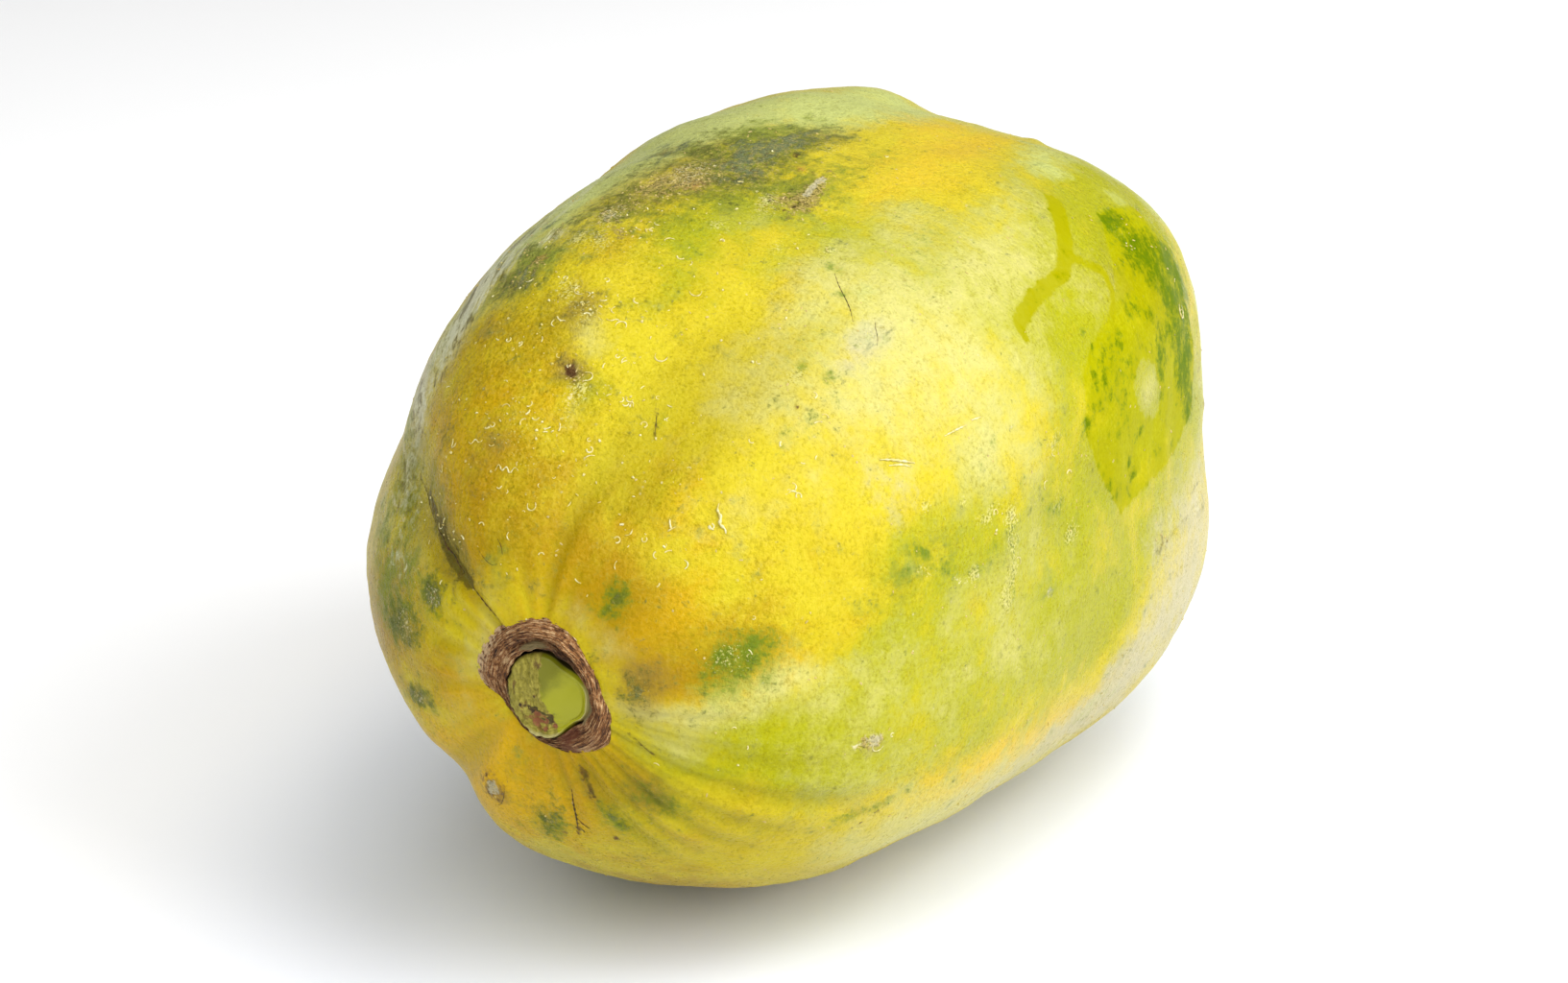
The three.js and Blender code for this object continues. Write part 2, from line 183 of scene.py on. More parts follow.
# Soft patches: down, round, half length and half width in millimetres, strength, and any lean in degrees.
# The half length runs from stem to blossom where there is no lean.
PATCHES = {
    "gold": (
        (12, 16, 9, 8, 0.9), (16, 8, 8, 5, 0.8), (20, 22, 10, 7, 0.5), (13, 40, 10, 8, 0.65),
        (12, 62, 9, 7, 0.75), (13, 85, 9, 6, 0.65), (24, 84, 16, 4, 0.15), (21, 68, 12, 4, 0.25),
        (20, 112, 16, 14, 0.75), (34, 112, 14, 13, 0.5), (20, 134, 12, 8, 0.6), (32, 132, 12, 8, 0.6),
        (24, 176, 18, 14, 0.8), (14, 192, 10, 8, 0.7), (14, 240, 16, 16, 0.75), (11, 272, 8, 10, 0.85),
        (11, 316, 9, 4, 0.65), (45, 74, 20, 6, 0.2), (101, 38, 6, 6, 0.5), (88, 20, 8, 8, 0.3),
        (50, 99, 14, 9, 0.4), (9, 262, 5, 14, 0.8), (30, 285, 10, 12, 0.5), (62, 150, 40, 20, 0.6),
        (70, 230, 40, 20, 0.5), (40, 280, 20, 14, 0.5), (120, 200, 40, 26, 0.5),
    ),
    "amber": (
        (97, 30, 8, 4, 0.4), (112, 33, 8, 4, 0.35), (48.5, 15, 4, 2, 0.3, -30), (46.4, 4, 5, 3.6, 0.7),
        (20, 5, 8, 5, 0.5), (25, 126, 10, 8, 0.5), (20, 45, 6, 6, 0.4), (30, 132, 10, 6, 0.4),
        (16, 238, 15, 14, 0.9), (10, 228, 6, 8, 0.5), (13, 268, 6, 5, 0.4), (11, 24, 4, 6, 0.4),
        (16, 34, 8, 5, 0.5), (12, 75, 7, 6, 0.3), (8, 110, 4, 7, 0.35), (11, 196, 6, 6, 0.4),
        (22, 60, 8, 5, 0.35), (28, 100, 10, 5, 0.35), (8, 320, 4, 5, 0.3), (18, 215, 12, 8, 0.6),
        (24, 240, 16, 12, 0.45), (26, 112, 10, 5, 0.4), (33, 345, 6, 3, 0.4), (13, 320, 4, 3, 0.4),
        (70, 250, 40, 20, 0.5), (40, 200, 24, 12, 0.5),
    ),
    "orange": (
        (62, 345, 8, 8, 0.45), (52, 4.5, 3, 2, 0.3), (58, 332, 30, 9, 0.9), (76, 328, 24, 8, 0.75),
        (44, 335, 12, 7, 0.5), (32, 335, 8, 5, 0.4), (104, 72, 26, 9, 0.6), (118, 77, 22, 12, 0.75),
        (82, 72, 18, 5, 0.4), (26, 2, 9, 4, 0.2), (80, 255, 34, 14, 0.6), (66, 285, 30, 12, 0.6),
        (128, 150, 24, 18, 0.5),
    ),
    "lime": (
        (48, 14, 9, 7, 0.4), (54, 8, 6, 8, 0.4), (15, 338, 14, 8, 0.85), (22, 349, 14, 9, 0.8),
        (30, 346, 18, 12, 0.8), (31, 4, 12, 6, 0.5), (43, 350, 20, 16, 0.7), (43, 12, 16, 10, 0.55),
        (60, 350, 24, 18, 0.65), (58, 8, 20, 14, 0.45), (78, 350, 22, 18, 0.85), (72, 10, 14, 12, 0.55),
        (63, 66, 16, 13, 0.7), (72, 50, 22, 18, 0.85), (60, 88, 16, 10, 0.9), (90, 40, 26, 16, 0.95),
        (112, 46, 26, 18, 1), (128, 50, 22, 18, 0.9), (50, 90, 13, 9, 0.7), (100, 354, 26, 8, 0.6),
        (17, 158, 14, 6, 0.5), (17, 296, 12, 6, 0.4), (98, 15, 24, 14, 0.9), (120, 18, 22, 16, 0.9),
        (45, 62, 14, 8, 0.4), (50, 28, 10, 9, 0.3), (60, 30, 10, 8, 0.25), (34, 92, 10, 8, 0.3),
        (29, 165, 12, 8, 0.4), (30, 96, 8, 5, 0.3), (38, 22, 12, 4, 0.4), (96, 22, 22, 16, 0.5),
        (74, 195, 44, 20, 0.8), (118, 260, 40, 20, 0.7), (150, 330, 26, 24, 0.7), (150, 120, 26, 22, 0.7),
        (46, 225, 20, 10, 0.6), (130, 5, 22, 18, 0.6),
    ),
    # Pale patches: the skin's pale bloom, and painted highlight in places. Those at 40 to 60 down and 25 to
    # 65 round paint the broad soft highlight; the narrow ones at 11 to 23 down and 353 to 3 round paint the
    # sheen on the ridge that runs out of the ring.
    "pale": (
        (74, 66, 12, 8, 0.3), (92, 120, 14, 8, 0.3), (62, 326, 30, 8, 0.35), (104.5, 19.5, 6.5, 4, 0.5),
        (43, 46, 12, 16, 0.5), (52, 46, 15, 19, 0.6), (60, 42, 10, 17, 0.55), (79, 50, 14, 9, 0.5),
        (40, 350, 18, 14, 0.35), (70, 322, 40, 12, 0.6), (92, 44, 14, 8, 0.35), (55, 66, 12, 8, 0.5),
        (50, 5, 14, 9, 0.35), (32, 66, 12, 6, 0.35), (42, 68, 12, 6, 0.3), (22, 84, 8, 4, 0.3),
        (60, 344, 14, 10, 0.25), (72, 64, 16, 9, 0.25), (56, 27, 14, 7, 0.5), (76, 108, 34, 9, 0.4),
        (14, 340, 8, 6, 0.4), (62, 8, 10, 8, 0.3), (70, 33, 10, 9, 0.4), (36, 62, 10, 7, 0.4),
        (11, 353, 10, 1.8, 0.5), (17, 357, 12, 2.2, 0.4), (23, 3, 10, 2.6, 0.4), (8, 60, 4, 12, 0.5),
        (8, 160, 4, 10, 0.5), (35, 96, 6, 5, 0.6), (29, 160, 16, 4, 0.6), (20, 150, 8, 3, 0.5),
        (43, 122, 10, 7, 0.6), (120, 62, 18, 9, 0.4), (34, 44, 10, 10, 0.35), (70, 44, 16, 14, 0.3),
        (60, 56, 16, 12, 0.3), (84, 54, 16, 7, 0.35), (70, 356, 30, 16, 0.2), (58, 84, 10, 8, 0.3),
        (100, 56, 14, 8, 0.3), (32, 340, 16, 20, 0.2), (44, 320, 16, 9, 0.6), (105, 20, 5, 4, 0.3),
        (24, 0, 14, 8, 0.35), (50, 318, 24, 7, 0.5), (98, 36, 14, 6, 0.4), (12, 345, 8, 6, 0.4),
        (54, 355, 8, 6, 0.4), (26, 96, 6, 4, 0.25), (96, 160, 26, 16, 0.4), (14, 205, 8, 4, 0.4),
        (64, 20, 6, 4, 0.3), (25, 48, 9, 7, 0.3),
    ),
    # The cream patches at 100 to 140 down and 330 to 355 round lie on the right rim: partly whitish bloom and
    # partly painted reflection of the white surroundings.
    "cream": (
        (50.4, 54.8, 5, 3.6, 0.75), (102, 333, 22, 11, 0.8), (116, 338, 20, 14, 0.8),
        (88, 326, 14, 6, 0.6), (126, 352, 14, 11, 0.6), (108, 352, 12, 9, 0.5), (136, 335, 20, 22, 0.7),
        (40, 128, 10, 6, 0.5), (66, 320, 20, 4, 0.4), (46, 54, 5, 3, 0.4), (40, 32, 10, 12, 0.35),
        (70, 325, 40, 8, 0.4), (130, 230, 26, 16, 0.4), (27, 185, 8, 8, 0.4), (38, 139, 14, 8, 0.8),
        (50, 125, 14, 6, 0.8),
    ),
    # The pale green patches at 138 to 145 down and 20 to 70 round lie on the rim: partly the skin's colour
    # and partly painted reflection of the white surroundings.
    "mint": (
        (50.6, 54.9, 5, 3.8, 0.4), (55.6, 60.5, 4, 3, 0.5), (38.4, 17, 4.4, 1.6, 0.5, -50),
        (122, 48, 5, 4, 0.5), (110, 96, 24, 12, 0.9), (96, 106, 22, 11, 0.8), (124, 94, 18, 14, 0.8),
        (138, 46, 8, 12, 0.6), (143, 20, 10, 16, 0.9), (76, 108, 34, 7, 0.5), (56, 122, 16, 6, 0.5),
        (84, 112, 16, 8, 0.6), (48, 118, 12, 6, 0.5), (140, 70, 20, 20, 0.6), (90, 330, 14, 5, 0.3),
        (72, 116, 44, 8, 1), (96, 110, 16, 8, 0.8), (118, 60, 14, 7, 0.6), (42, 132, 14, 7, 0.6),
        (38, 148, 14, 6, 0.5), (150, 250, 20, 20, 0.5), (60, 190, 20, 10, 0.4),
    ),
    "olive": (
        (10, 265, 5, 14, 0.35), (30, 285, 10, 10, 0.35), (70, 98, 20, 12, 0.75), (58, 104, 12, 8, 0.6),
        (88, 93, 14, 9, 0.6), (45, 117, 11, 9, 0.6), (36, 104, 11, 9, 0.5), (23, 136, 12, 7, 0.6),
        (34, 120, 10, 8, 0.2), (15, 112, 8, 5, 0.4), (28, 88, 12, 6, 0.15), (42, 72, 16, 5, 0.1),
        (24, 168, 14, 10, 0.6), (30, 150, 14, 8, 0.5), (84, 80, 16, 5, 0.35), (22, 320, 14, 4, 0.4),
        (12, 305, 8, 6, 0.4), (18, 250, 8, 6, 0.3), (110, 35, 22, 16, 0.5), (90, 15, 20, 10, 0.3),
        (52, 8, 6, 9, 0.25), (40, 16, 14, 5, 0.4), (66, 12, 9, 9, 0.2), (106, 215, 26, 16, 0.6),
        (60, 250, 18, 12, 0.5), (179.4, 0, 14, 14, 0.6),
    ),
    "green": (
        (40.2, 18.6, 4.6, 1.7, 0.85, -52), (37.8, 17.4, 4.4, 1.6, 0.5, -50),
        (45, 12, 4.2, 1.5, 0.65, -27), (48.6, 9.6, 3, 2, 0.5, -20), (52, 12, 3, 3, 0.4),
        (56, 11, 1.4, 4.6, 0.5), (55, 2.6, 1.6, 4, 0.5), (65, 358.4, 2, 2, 0.45), (73.4, 6, 3, 2.2, 0.6),
        (69.4, 12, 3, 2.8, 0.55), (70, 22.4, 3.4, 3, 0.55), (71.8, 5, 2.4, 2, 0.4),
        (54, 27, 3, 2.4, 0.35), (57, 28, 1, 0.8, 0.6), (66, 13, 2.4, 4, 0.5), (60, 20, 2.4, 2, 0.35),
        (79.5, 21, 2.4, 1, 0.6, 30), (33, 12, 4, 1.4, 0.3, -20), (85.5, 26.8, 1.2, 1, 0.9),
        (88.7, 26.2, 1.1, 1, 0.8), (90.8, 16.2, 1.4, 1, 0.8), (95.6, 9.8, 1.6, 1, 0.9),
        (97.6, 7.2, 2, 0.9, 0.8), (106.7, 32, 2.6, 2, 0.8), (110, 30, 3, 2, 0.6), (87.7, 33.9, 1, 1, 0.8),
        (124.5, 36, 5, 4, 0.9), (128, 29, 5, 4, 1), (126, 22, 4, 5, 0.9), (124, 16, 4, 5, 0.8),
        (126, 10, 4, 4, 0.6), (110, 24, 1.6, 2, 0.6), (34, 327, 5, 2, 0.8, 30),
        (38, 330, 4, 1.6, 0.6, 30), (18.4, 13.4, 7.4, 4.6, 0.95), (21, 16, 4, 3, 0.5),
        (11.5, 55.5, 4.4, 3.2, 1), (52, 90, 9, 5, 0.3), (18.8, 173.6, 5.4, 4.6, 1),
        (21.4, 173, 4, 4.6, 0.8), (15.4, 156, 4.4, 3.4, 1), (17.8, 197.4, 5.6, 3, 1),
        (16.5, 263, 6, 3.6, 1), (15.2, 290, 5, 2.6, 1), (9, 2, 3, 3, 0.4), (97, 52, 3, 3, 0.35),
        (14.4, 313, 6, 3, 0.8), (16.5, 315, 4, 2.4, 0.7), (111, 21, 2.4, 3, 0.8), (112, 17, 3, 2, 0.5),
        (115, 45.5, 6, 3, 1), (117, 40, 8, 4, 0.95), (118, 35, 8, 4, 0.8), (121, 30, 6, 4, 0.9),
        (121, 24, 5, 4, 0.9), (122, 18, 5, 4, 0.85), (116, 26, 4, 4, 0.5), (126, 12, 5, 4, 0.5),
        (128, 34, 6, 8, 0.9), (103, 33, 3, 2.4, 0.6), (98, 24, 9, 6, 0.3), (101, 14, 3, 2, 0.6),
        (112, 24, 3, 3, 0.6), (96, 30, 3, 2, 0.4), (93, 18, 3, 3, 0.4), (90, 26, 8, 5, 0.35),
        (80, 22, 8, 5, 0.3), (86, 8, 7, 4, 0.4), (41.3, 59.3, 1.5, 1.1, 1), (42.2, 54.6, 1.4, 1.4, 1),
        (57.1, 66.1, 1.3, 1.2, 1), (56.9, 68, 1.6, 1.2, 0.8), (53.4, 62.9, 1.4, 1.2, 1),
        (60.1, 70.2, 1.4, 1, 0.9), (96, 79, 5, 3, 0.5), (88, 78, 4, 2, 0.45), (26, 160, 10, 5, 0.4),
        (28, 76, 3.6, 1, 0.6), (35, 52, 12, 3, 0.25), (76, 60, 8, 4, 0.3), (66, 56, 7, 5, 0.3),
        (44, 62, 7, 3, 0.3), (90, 212, 14, 8, 0.7), (108, 225, 12, 10, 0.6), (60, 248, 10, 6, 0.6),
        (140, 290, 14, 10, 0.7), (150, 170, 14, 12, 0.6), (86, 312, 10, 5, 0.5), (100, 278, 9, 7, 0.5),
        (120, 320, 6, 4, 0.4),
    ),
    "moss": (
        (74, 95, 20, 11, 0.85), (57, 104, 10, 9, 0.65), (90, 94, 14, 9, 0.8), (46, 114, 9, 8, 0.7),
        (72, 82, 10, 4, 0.7), (30, 150, 14, 8, 0.6), (24, 168, 14, 9, 0.7), (22, 134, 8, 5, 0.3),
        (124, 30, 12, 14, 0.4), (38, 18, 8, 4, 0.4), (43, 15, 8, 4, 0.35, 15), (70, 10, 6, 6, 0.25),
        (18, 12, 9, 6, 0.6), (64, 359, 6, 5, 0.4), (80, 80, 14, 4, 0.4), (106, 215, 26, 16, 0.7),
        (60, 250, 18, 12, 0.6), (15, 296, 10, 9, 0.15), (53, 10, 5, 3, 0.3),
    ),
    "bruise": (
        (9.6, 8, 5.4, 6.4, 0.85), (12, 12, 5, 4, 0.35), (14.2, 314, 6, 4, 1), (17, 138, 8, 5, 0.9),
        (25, 112, 7, 5, 0.6), (27, 127, 7, 5, 0.3), (39, 101, 7, 5, 0.75), (31, 98, 4, 4, 0.9),
        (16.5, 262, 6, 4, 0.5), (22, 119, 5, 3, 0.5), (20.5, 177, 4, 3, 0.4), (66, 97, 7, 6, 0.5),
        (11, 288, 4, 3, 0.5), (33, 345, 3, 3, 0.5), (15.4, 241.5, 3.4, 2.4, 0.9), (38, 118, 6, 4, 0.5),
        (15, 90, 6, 2, 0.35), (24, 86, 8, 2.5, 0.2),
    ),
    "stain": (
        (79.6, 109, 8, 4, 0.9), (73, 91.6, 8, 5, 1), (52, 112, 8, 6, 0.7), (58, 106, 10, 8, 0.75),
        (66, 101, 12, 9, 0.85), (74, 96, 12, 9, 0.9), (80, 101, 12, 6, 0.6), (84, 93, 10, 6, 0.9),
        (93, 91, 10, 6, 0.85), (99, 89, 6, 5, 0.7), (72, 82, 8, 3, 0.75), (66, 109, 10, 4, 0.4),
        (88, 104, 8, 4, 0.3), (39, 101, 6, 5, 0.35), (43.5, 114.5, 5, 5, 0.95), (47, 120, 7, 4, 0.7),
        (9.4, 5, 3.4, 3.4, 0.6), (31, 98, 3, 2.4, 0.7), (17, 138.5, 7, 4, 0.8), (24, 141, 6, 2, 0.7),
        (31, 146, 10, 3, 0.5), (18.6, 174, 4.4, 4, 1), (15.4, 156, 3.6, 2.8, 1), (21.6, 173, 3, 3.6, 0.7),
        (17.8, 197.4, 4.6, 2.4, 1), (13.5, 133, 3, 2, 0.6), (28, 128, 5, 3, 0.5), (22, 120, 4, 2, 0.4),
        (16, 262, 4.4, 2.6, 0.8), (14.8, 291, 3.4, 1.6, 0.75), (14.4, 314, 4.4, 2, 0.8),
        (106, 352, 5, 4, 0.4), (11.6, 55, 3, 2, 0.6), (18, 12, 4, 2, 0.35), (10, 98, 4, 1, 0.4),
        (26, 112, 4, 2.4, 0.4), (110, 212, 9, 7, 0.6), (95, 236, 8, 5, 0.5), (130, 350, 4, 3, 0.4),
        (116, 45.5, 3.4, 2, 0.7), (127, 34, 3, 3, 0.25),
    ),
    "grey": (
        (82.6, 95.4, 7, 4, 0.9), (89, 92.4, 7, 3, 0.9), (80, 108, 7, 3.4, 0.7), (72, 91.6, 6, 4, 0.6),
        (76, 95, 9, 5, 0.75), (86, 94, 9, 5, 0.75), (96, 91, 8, 4, 0.6), (44, 114.5, 3.6, 3.6, 0.8),
        (49.5, 54.6, 3.6, 2.4, 0.75), (47, 121, 8, 4, 0.7), (56, 117, 10, 5, 0.6), (15, 156, 2, 1.4, 0.4),
        (70, 20, 4, 3, 0.35), (65, 358, 2.4, 2.2, 0.7), (54, 0, 3, 2, 0.4), (108, 330, 5, 3, 0.5),
        (9, 2, 2.4, 2, 0.5), (38, 140, 12, 6, 0.5), (117, 46.5, 4, 2, 0.4), (128, 36, 3, 3, 0.4),
        (78, 112, 16, 5, 0.5), (15.5, 157, 2.4, 1.6, 0.7), (20, 177, 2.6, 2, 0.6),
        (19, 198, 2.4, 1.8, 0.6), (15, 291, 2.4, 1.4, 0.6), (16, 263, 3, 1.8, 0.6), (35, 150, 8, 3, 0.6),
    ),
    "crust": (
        (69, 100, 6, 5, 0.75), (66, 98, 5, 3.4, 0.6), (64.7, 103.4, 6, 3, 0.6), (60, 102, 7, 4, 0.45),
        (55, 106, 7, 4, 0.5), (46, 112, 4, 2.4, 0.6), (72, 80.5, 11, 2.4, 1, 6), (68, 84, 4, 3, 0.7),
        (46, 118, 6, 4, 0.35), (52, 117, 6, 4, 0.25), (33, 345.5, 2.4, 1.4, 1),
        (32, 344.5, 1.4, 1.6, 0.8), (31, 97.5, 2, 2, 0.9), (15, 238, 2.4, 2, 1), (51, 101, 5, 4, 0.5),
        (108, 352, 5, 4, 0.5), (56, 355, 4, 3, 0.4), (18.5, 138, 3, 1.2, 0.6), (95, 238, 5, 3, 0.7),
        (120, 180, 6, 4, 0.6), (179.4, 0, 5, 5, 0.7),
    ),
    "fleck": (
        (56, 15.6, 2.2, 2, 1), (51.6, 18, 4, 2, 0.8), (55.8, 11, 2.4, 4.4, 0.75), (55, 6, 2.4, 3, 0.8),
        (47.4, 9.6, 2.4, 1.6, 1), (53.4, 1.6, 2.6, 3.4, 1), (50.5, 359, 1.4, 1, 0.7),
        (42.5, 26, 2, 2, 0.7), (48.5, 22.6, 2, 1.4, 0.7), (40, 15, 4, 1.2, 0.6, -40),
        (73.4, 5.4, 2.4, 2.2, 0.8), (70, 22, 4, 3, 0.6), (69.3, 12, 3, 3, 0.6), (71.6, 5, 2.4, 2.4, 0.6),
        (65, 358, 2, 1.6, 0.7), (39.6, 59, 3, 2, 0.9), (60.1, 70.1, 2, 1.6, 0.9), (56, 77.2, 3, 2, 0.6),
        (50.4, 54.7, 3.6, 3, 0.5), (57.4, 71, 3, 3, 0.4), (29.2, 95, 3, 2.2, 0.9), (26, 96.5, 3, 2, 0.6),
        (66.6, 85.6, 4, 1.8, 1), (54.8, 105, 5, 3, 0.9), (50, 107.4, 4, 2.4, 0.9), (49, 103, 4, 2.4, 0.8),
        (41.3, 104, 4, 3, 0.8), (37.6, 98.6, 4, 3, 0.6), (52.4, 112.4, 3, 2, 0.8),
        (56.5, 88.2, 4, 4, 0.6), (63, 84, 6, 3, 0.5), (69, 100, 8, 5, 0.7), (24, 105, 8, 6, 0.4),
        (33, 345.5, 2.6, 2, 0.9), (18.8, 173, 4.4, 4, 0.6), (17.8, 197.4, 4, 2, 0.6),
        (15.4, 156, 3, 2.4, 0.6), (126, 24, 6, 8, 0.5), (131, 4, 6, 6, 0.5), (114, 44, 4, 3, 0.5),
        (18, 14, 5, 4, 0.5), (20, 320, 5, 3, 0.4), (60, 24, 14, 10, 0.15), (92, 86, 6, 3, 0.6),
    ),
    # Most silver streaks run along the rims, at 24 to 56 down by 121 to 161 round and at 112 to 137 down by
    # 352 to 24 round: partly whitish streaks on the skin and partly painted sheen of the white surroundings.
    "silver": (
        (48, 121, 5, 3, 1), (52, 113, 4, 2.6, 0.9), (43, 125, 8, 3, 0.9), (56, 121, 14, 5, 0.8),
        (47, 125, 12, 5, 0.9), (41, 130, 12, 5, 0.9), (36, 140, 12, 5, 0.9), (30, 150, 12, 5, 0.8),
        (24, 161, 10, 4, 0.5), (134, 10, 8, 10, 0.3), (126, 352, 14, 8, 0.35), (112, 352, 6, 4, 0.3),
        (70, 116, 20, 4, 0.5), (137, 24, 5, 8, 0.3),
    ),
    "rust": (
        (65.7, 97.2, 3, 2, 1.2), (80, 85.9, 3, 2, 0.8), (78.6, 79.6, 1.6, 0.8, 0.9), (66, 99, 6, 3, 0.5),
        (60, 100, 6, 3, 0.4), (72, 80, 8, 2.4, 0.5, 6), (78, 82, 4, 2, 0.6), (47, 111.5, 2.6, 1.8, 0.8),
        (50, 118, 3, 2, 0.5), (31, 98, 3, 2.4, 0.6), (96, 236, 3, 2, 0.6),
    ),
    "brown": (
        (179.4, 0, 2.4, 2.4, 1), (177, 36, 2, 0.7, 0.7), (177, 108, 2, 0.7, 0.7), (177, 180, 2, 0.7, 0.7),
        (177, 252, 2, 0.7, 0.7), (177, 324, 2, 0.7, 0.7), (31, 98, 2.2, 1.9, 1), (9.5, 290, 1.7, 1, 1),
        (12, 286, 1.6, 0.7, 0.7), (37, 55, 0.7, 0.6, 1), (15, 238, 4.6, 3.6, 0.75),
        (18, 284.5, 0.9, 0.7, 1), (139.5, 5.5, 1.2, 1.4, 1), (66, 97, 4, 3, 0.4), (84, 89, 2, 1.2, 0.7),
        (17.5, 267, 1, 0.7, 0.8), (10, 355, 0.8, 0.5, 0.9), (12, 350, 0.7, 0.5, 0.9),
        (108, 352, 2.4, 2, 0.5), (24, 176, 1, 0.6, 0.8),
    ),
    "white": (
        (15, 238.6, 2.1, 1.7, 1.2), (33, 345.5, 2.0, 1.5, 1.1), (31, 344.6, 1.0, 0.8, 1),
        (56.2, 15.2, 1, 0.8, 0.9), (45, 10, 3.4, 0.5, 0.9, -35), (48, 9, 1.6, 0.9, 0.7),
        (65, 357.6, 1.4, 1.2, 0.8), (74, 81.4, 4.6, 0.8, 1.3, 4), (77.8, 81.2, 1.6, 1.2, 1.1),
        (64, 98, 4, 1.4, 0.4), (27.6, 96.4, 2, 1.2, 0.45), (70, 22, 2.6, 1.2, 0.4),
        (52, 118, 5, 1.6, 0.6), (20, 4, 3, 0.6, 0.4), (126, 31, 2, 0.8, 0.6), (121, 37, 1.2, 0.8, 0.6),
        # The long thin whitish streaks from 27 to 47 down and 126 to 163 round go with the silver streaks on
        # the upper left rim: partly real streaks and partly painted sheen.
        (29, 95.5, 2.6, 2, 0.5), (36, 150, 12, 1, 0.8, 10), (30, 156, 10, 0.8, 0.8, 8),
        (43, 136, 10, 0.9, 0.7, 8), (47, 126, 9, 1.2, 0.7), (27, 163, 8, 0.7, 0.6),
    ),
}
# Dark strips: half width in millimetres, then places along each.
DARK_STRIPS = (
    # This strip lies in the deep crease near the stem and is widened past the dark streak there: partly a
    # real dark streak and partly painted shadow of the crease.
    (1.5, ((19.8, 138.4), (17.8, 140), (16, 139.6), (14.2, 138.2), (12.8, 136.4))),
    (0.8, ((24.4, 140.4), (22, 139.4), (19.8, 138.6))),
    (0.4, ((28, 143.5), (24, 141.5), (20.5, 140.5))),
    (0.35, ((22, 136), (18, 135.6), (15.4, 134.8))),
    (0.45, ((9.5, 290), (11, 289), (12.4, 288.6))),
    (0.3, ((14.4, 274.8), (16, 273.4), (17.4, 272.2))),
    (0.3, ((29.5, 78.8), (27.8, 76.8), (26, 75))),
    (0.25, ((35.2, 323.5), (37, 327), (39, 330.5))),
    (0.3, ((73, 79), (70, 80.5), (67, 81), (65, 82))),
    (0.3, ((66, 86), (68, 84), (70, 83.5), (72.5, 84))),
    (0.3, ((12, 331), (10.5, 333), (9, 336))),
)
# Fine dark cracks: half width in millimetres, then places along each.
CRACKS = (
    (0.24, ((12.8, 136.8), (11.4, 135.8), (9.6, 135), (8.6, 133.4), (7.4, 131.4))),
    (0.24, (
        (10.4, 279), (11.6, 277.8), (12.6, 276), (13.6, 275.2), (14.6, 274.6), (16, 273.4), (16.8, 272),
    )),
    (0.2, ((14.8, 274.4), (15.8, 276), (16.6, 278.6))),
    (0.16, ((16, 273.4), (16.6, 274.6), (17.4, 274.8))),
    (0.13, ((56.6, 67.2), (54.4, 64.6), (53.2, 62.4), (51.8, 60), (49.9, 57.4))),
    (0.08, ((53.4, 56.2), (52, 55), (51, 53.4), (49.8, 52.4))),
    (0.1, ((15.2, 113.6), (14.2, 112.2), (13.2, 112.6))),
    (0.08, ((28.8, 78), (27.4, 76.4), (26.4, 75.4))),
    (0.07, ((14.8, 123), (13.4, 121), (12.6, 118), (12.8, 115))),
    (0.07, ((12.4, 330), (11, 332.4), (9.4, 335.6))),
    (0.22, ((20.6, 141.4), (18.8, 139.6), (17.6, 140.2), (16.2, 138.2), (15.2, 138.8), (13.4, 136.8))),
    (0.1, ((28, 144), (25, 142.4), (22.6, 142), (20.6, 141))),
    (0.1, ((13.6, 243.4), (15, 244.2), (16.8, 243.4), (17.8, 241))),
)
# The wet sheet's outline, a dry island in it, and the runs that lead into it.
WET_OUTLINE = (
    (83, 29), (81, 25), (79.5, 20), (81, 15.5), (84, 11), (88, 6), (91, 2.5), (96, 3), (103, 4), (112, 4),
    (121, 6), (127, 9), (129, 18), (128, 28), (130, 38), (124, 46), (114, 48), (110, 44), (106, 40),
    (102, 36), (96, 34), (90, 32),
)
DRY_ISLAND = (
    (98.8, 21.6), (99.6, 18.6), (101.6, 16.8), (104, 15.4), (108, 13.8), (111, 14.4), (111.6, 17.2),
    (109.4, 19.6), (108.2, 22.2), (105.4, 23.8), (102.4, 24.6), (100, 23.6),
)
WET_RUNS = (
    (2.0, ((106, 53), (103, 51), (100, 48.5), (97.6, 46.6), (95, 45))),
    (1.7, ((95, 45), (92.6, 43.4), (90, 42.8), (86, 42.8), (81.5, 42.6), (77, 42), (73.4, 41))),
    (0.8, ((73.6, 41), (72.2, 40), (72.8, 38.4))),
    (1.1, ((96, 44), (101, 39.6), (100.4, 36), (97.4, 33.6))),
)
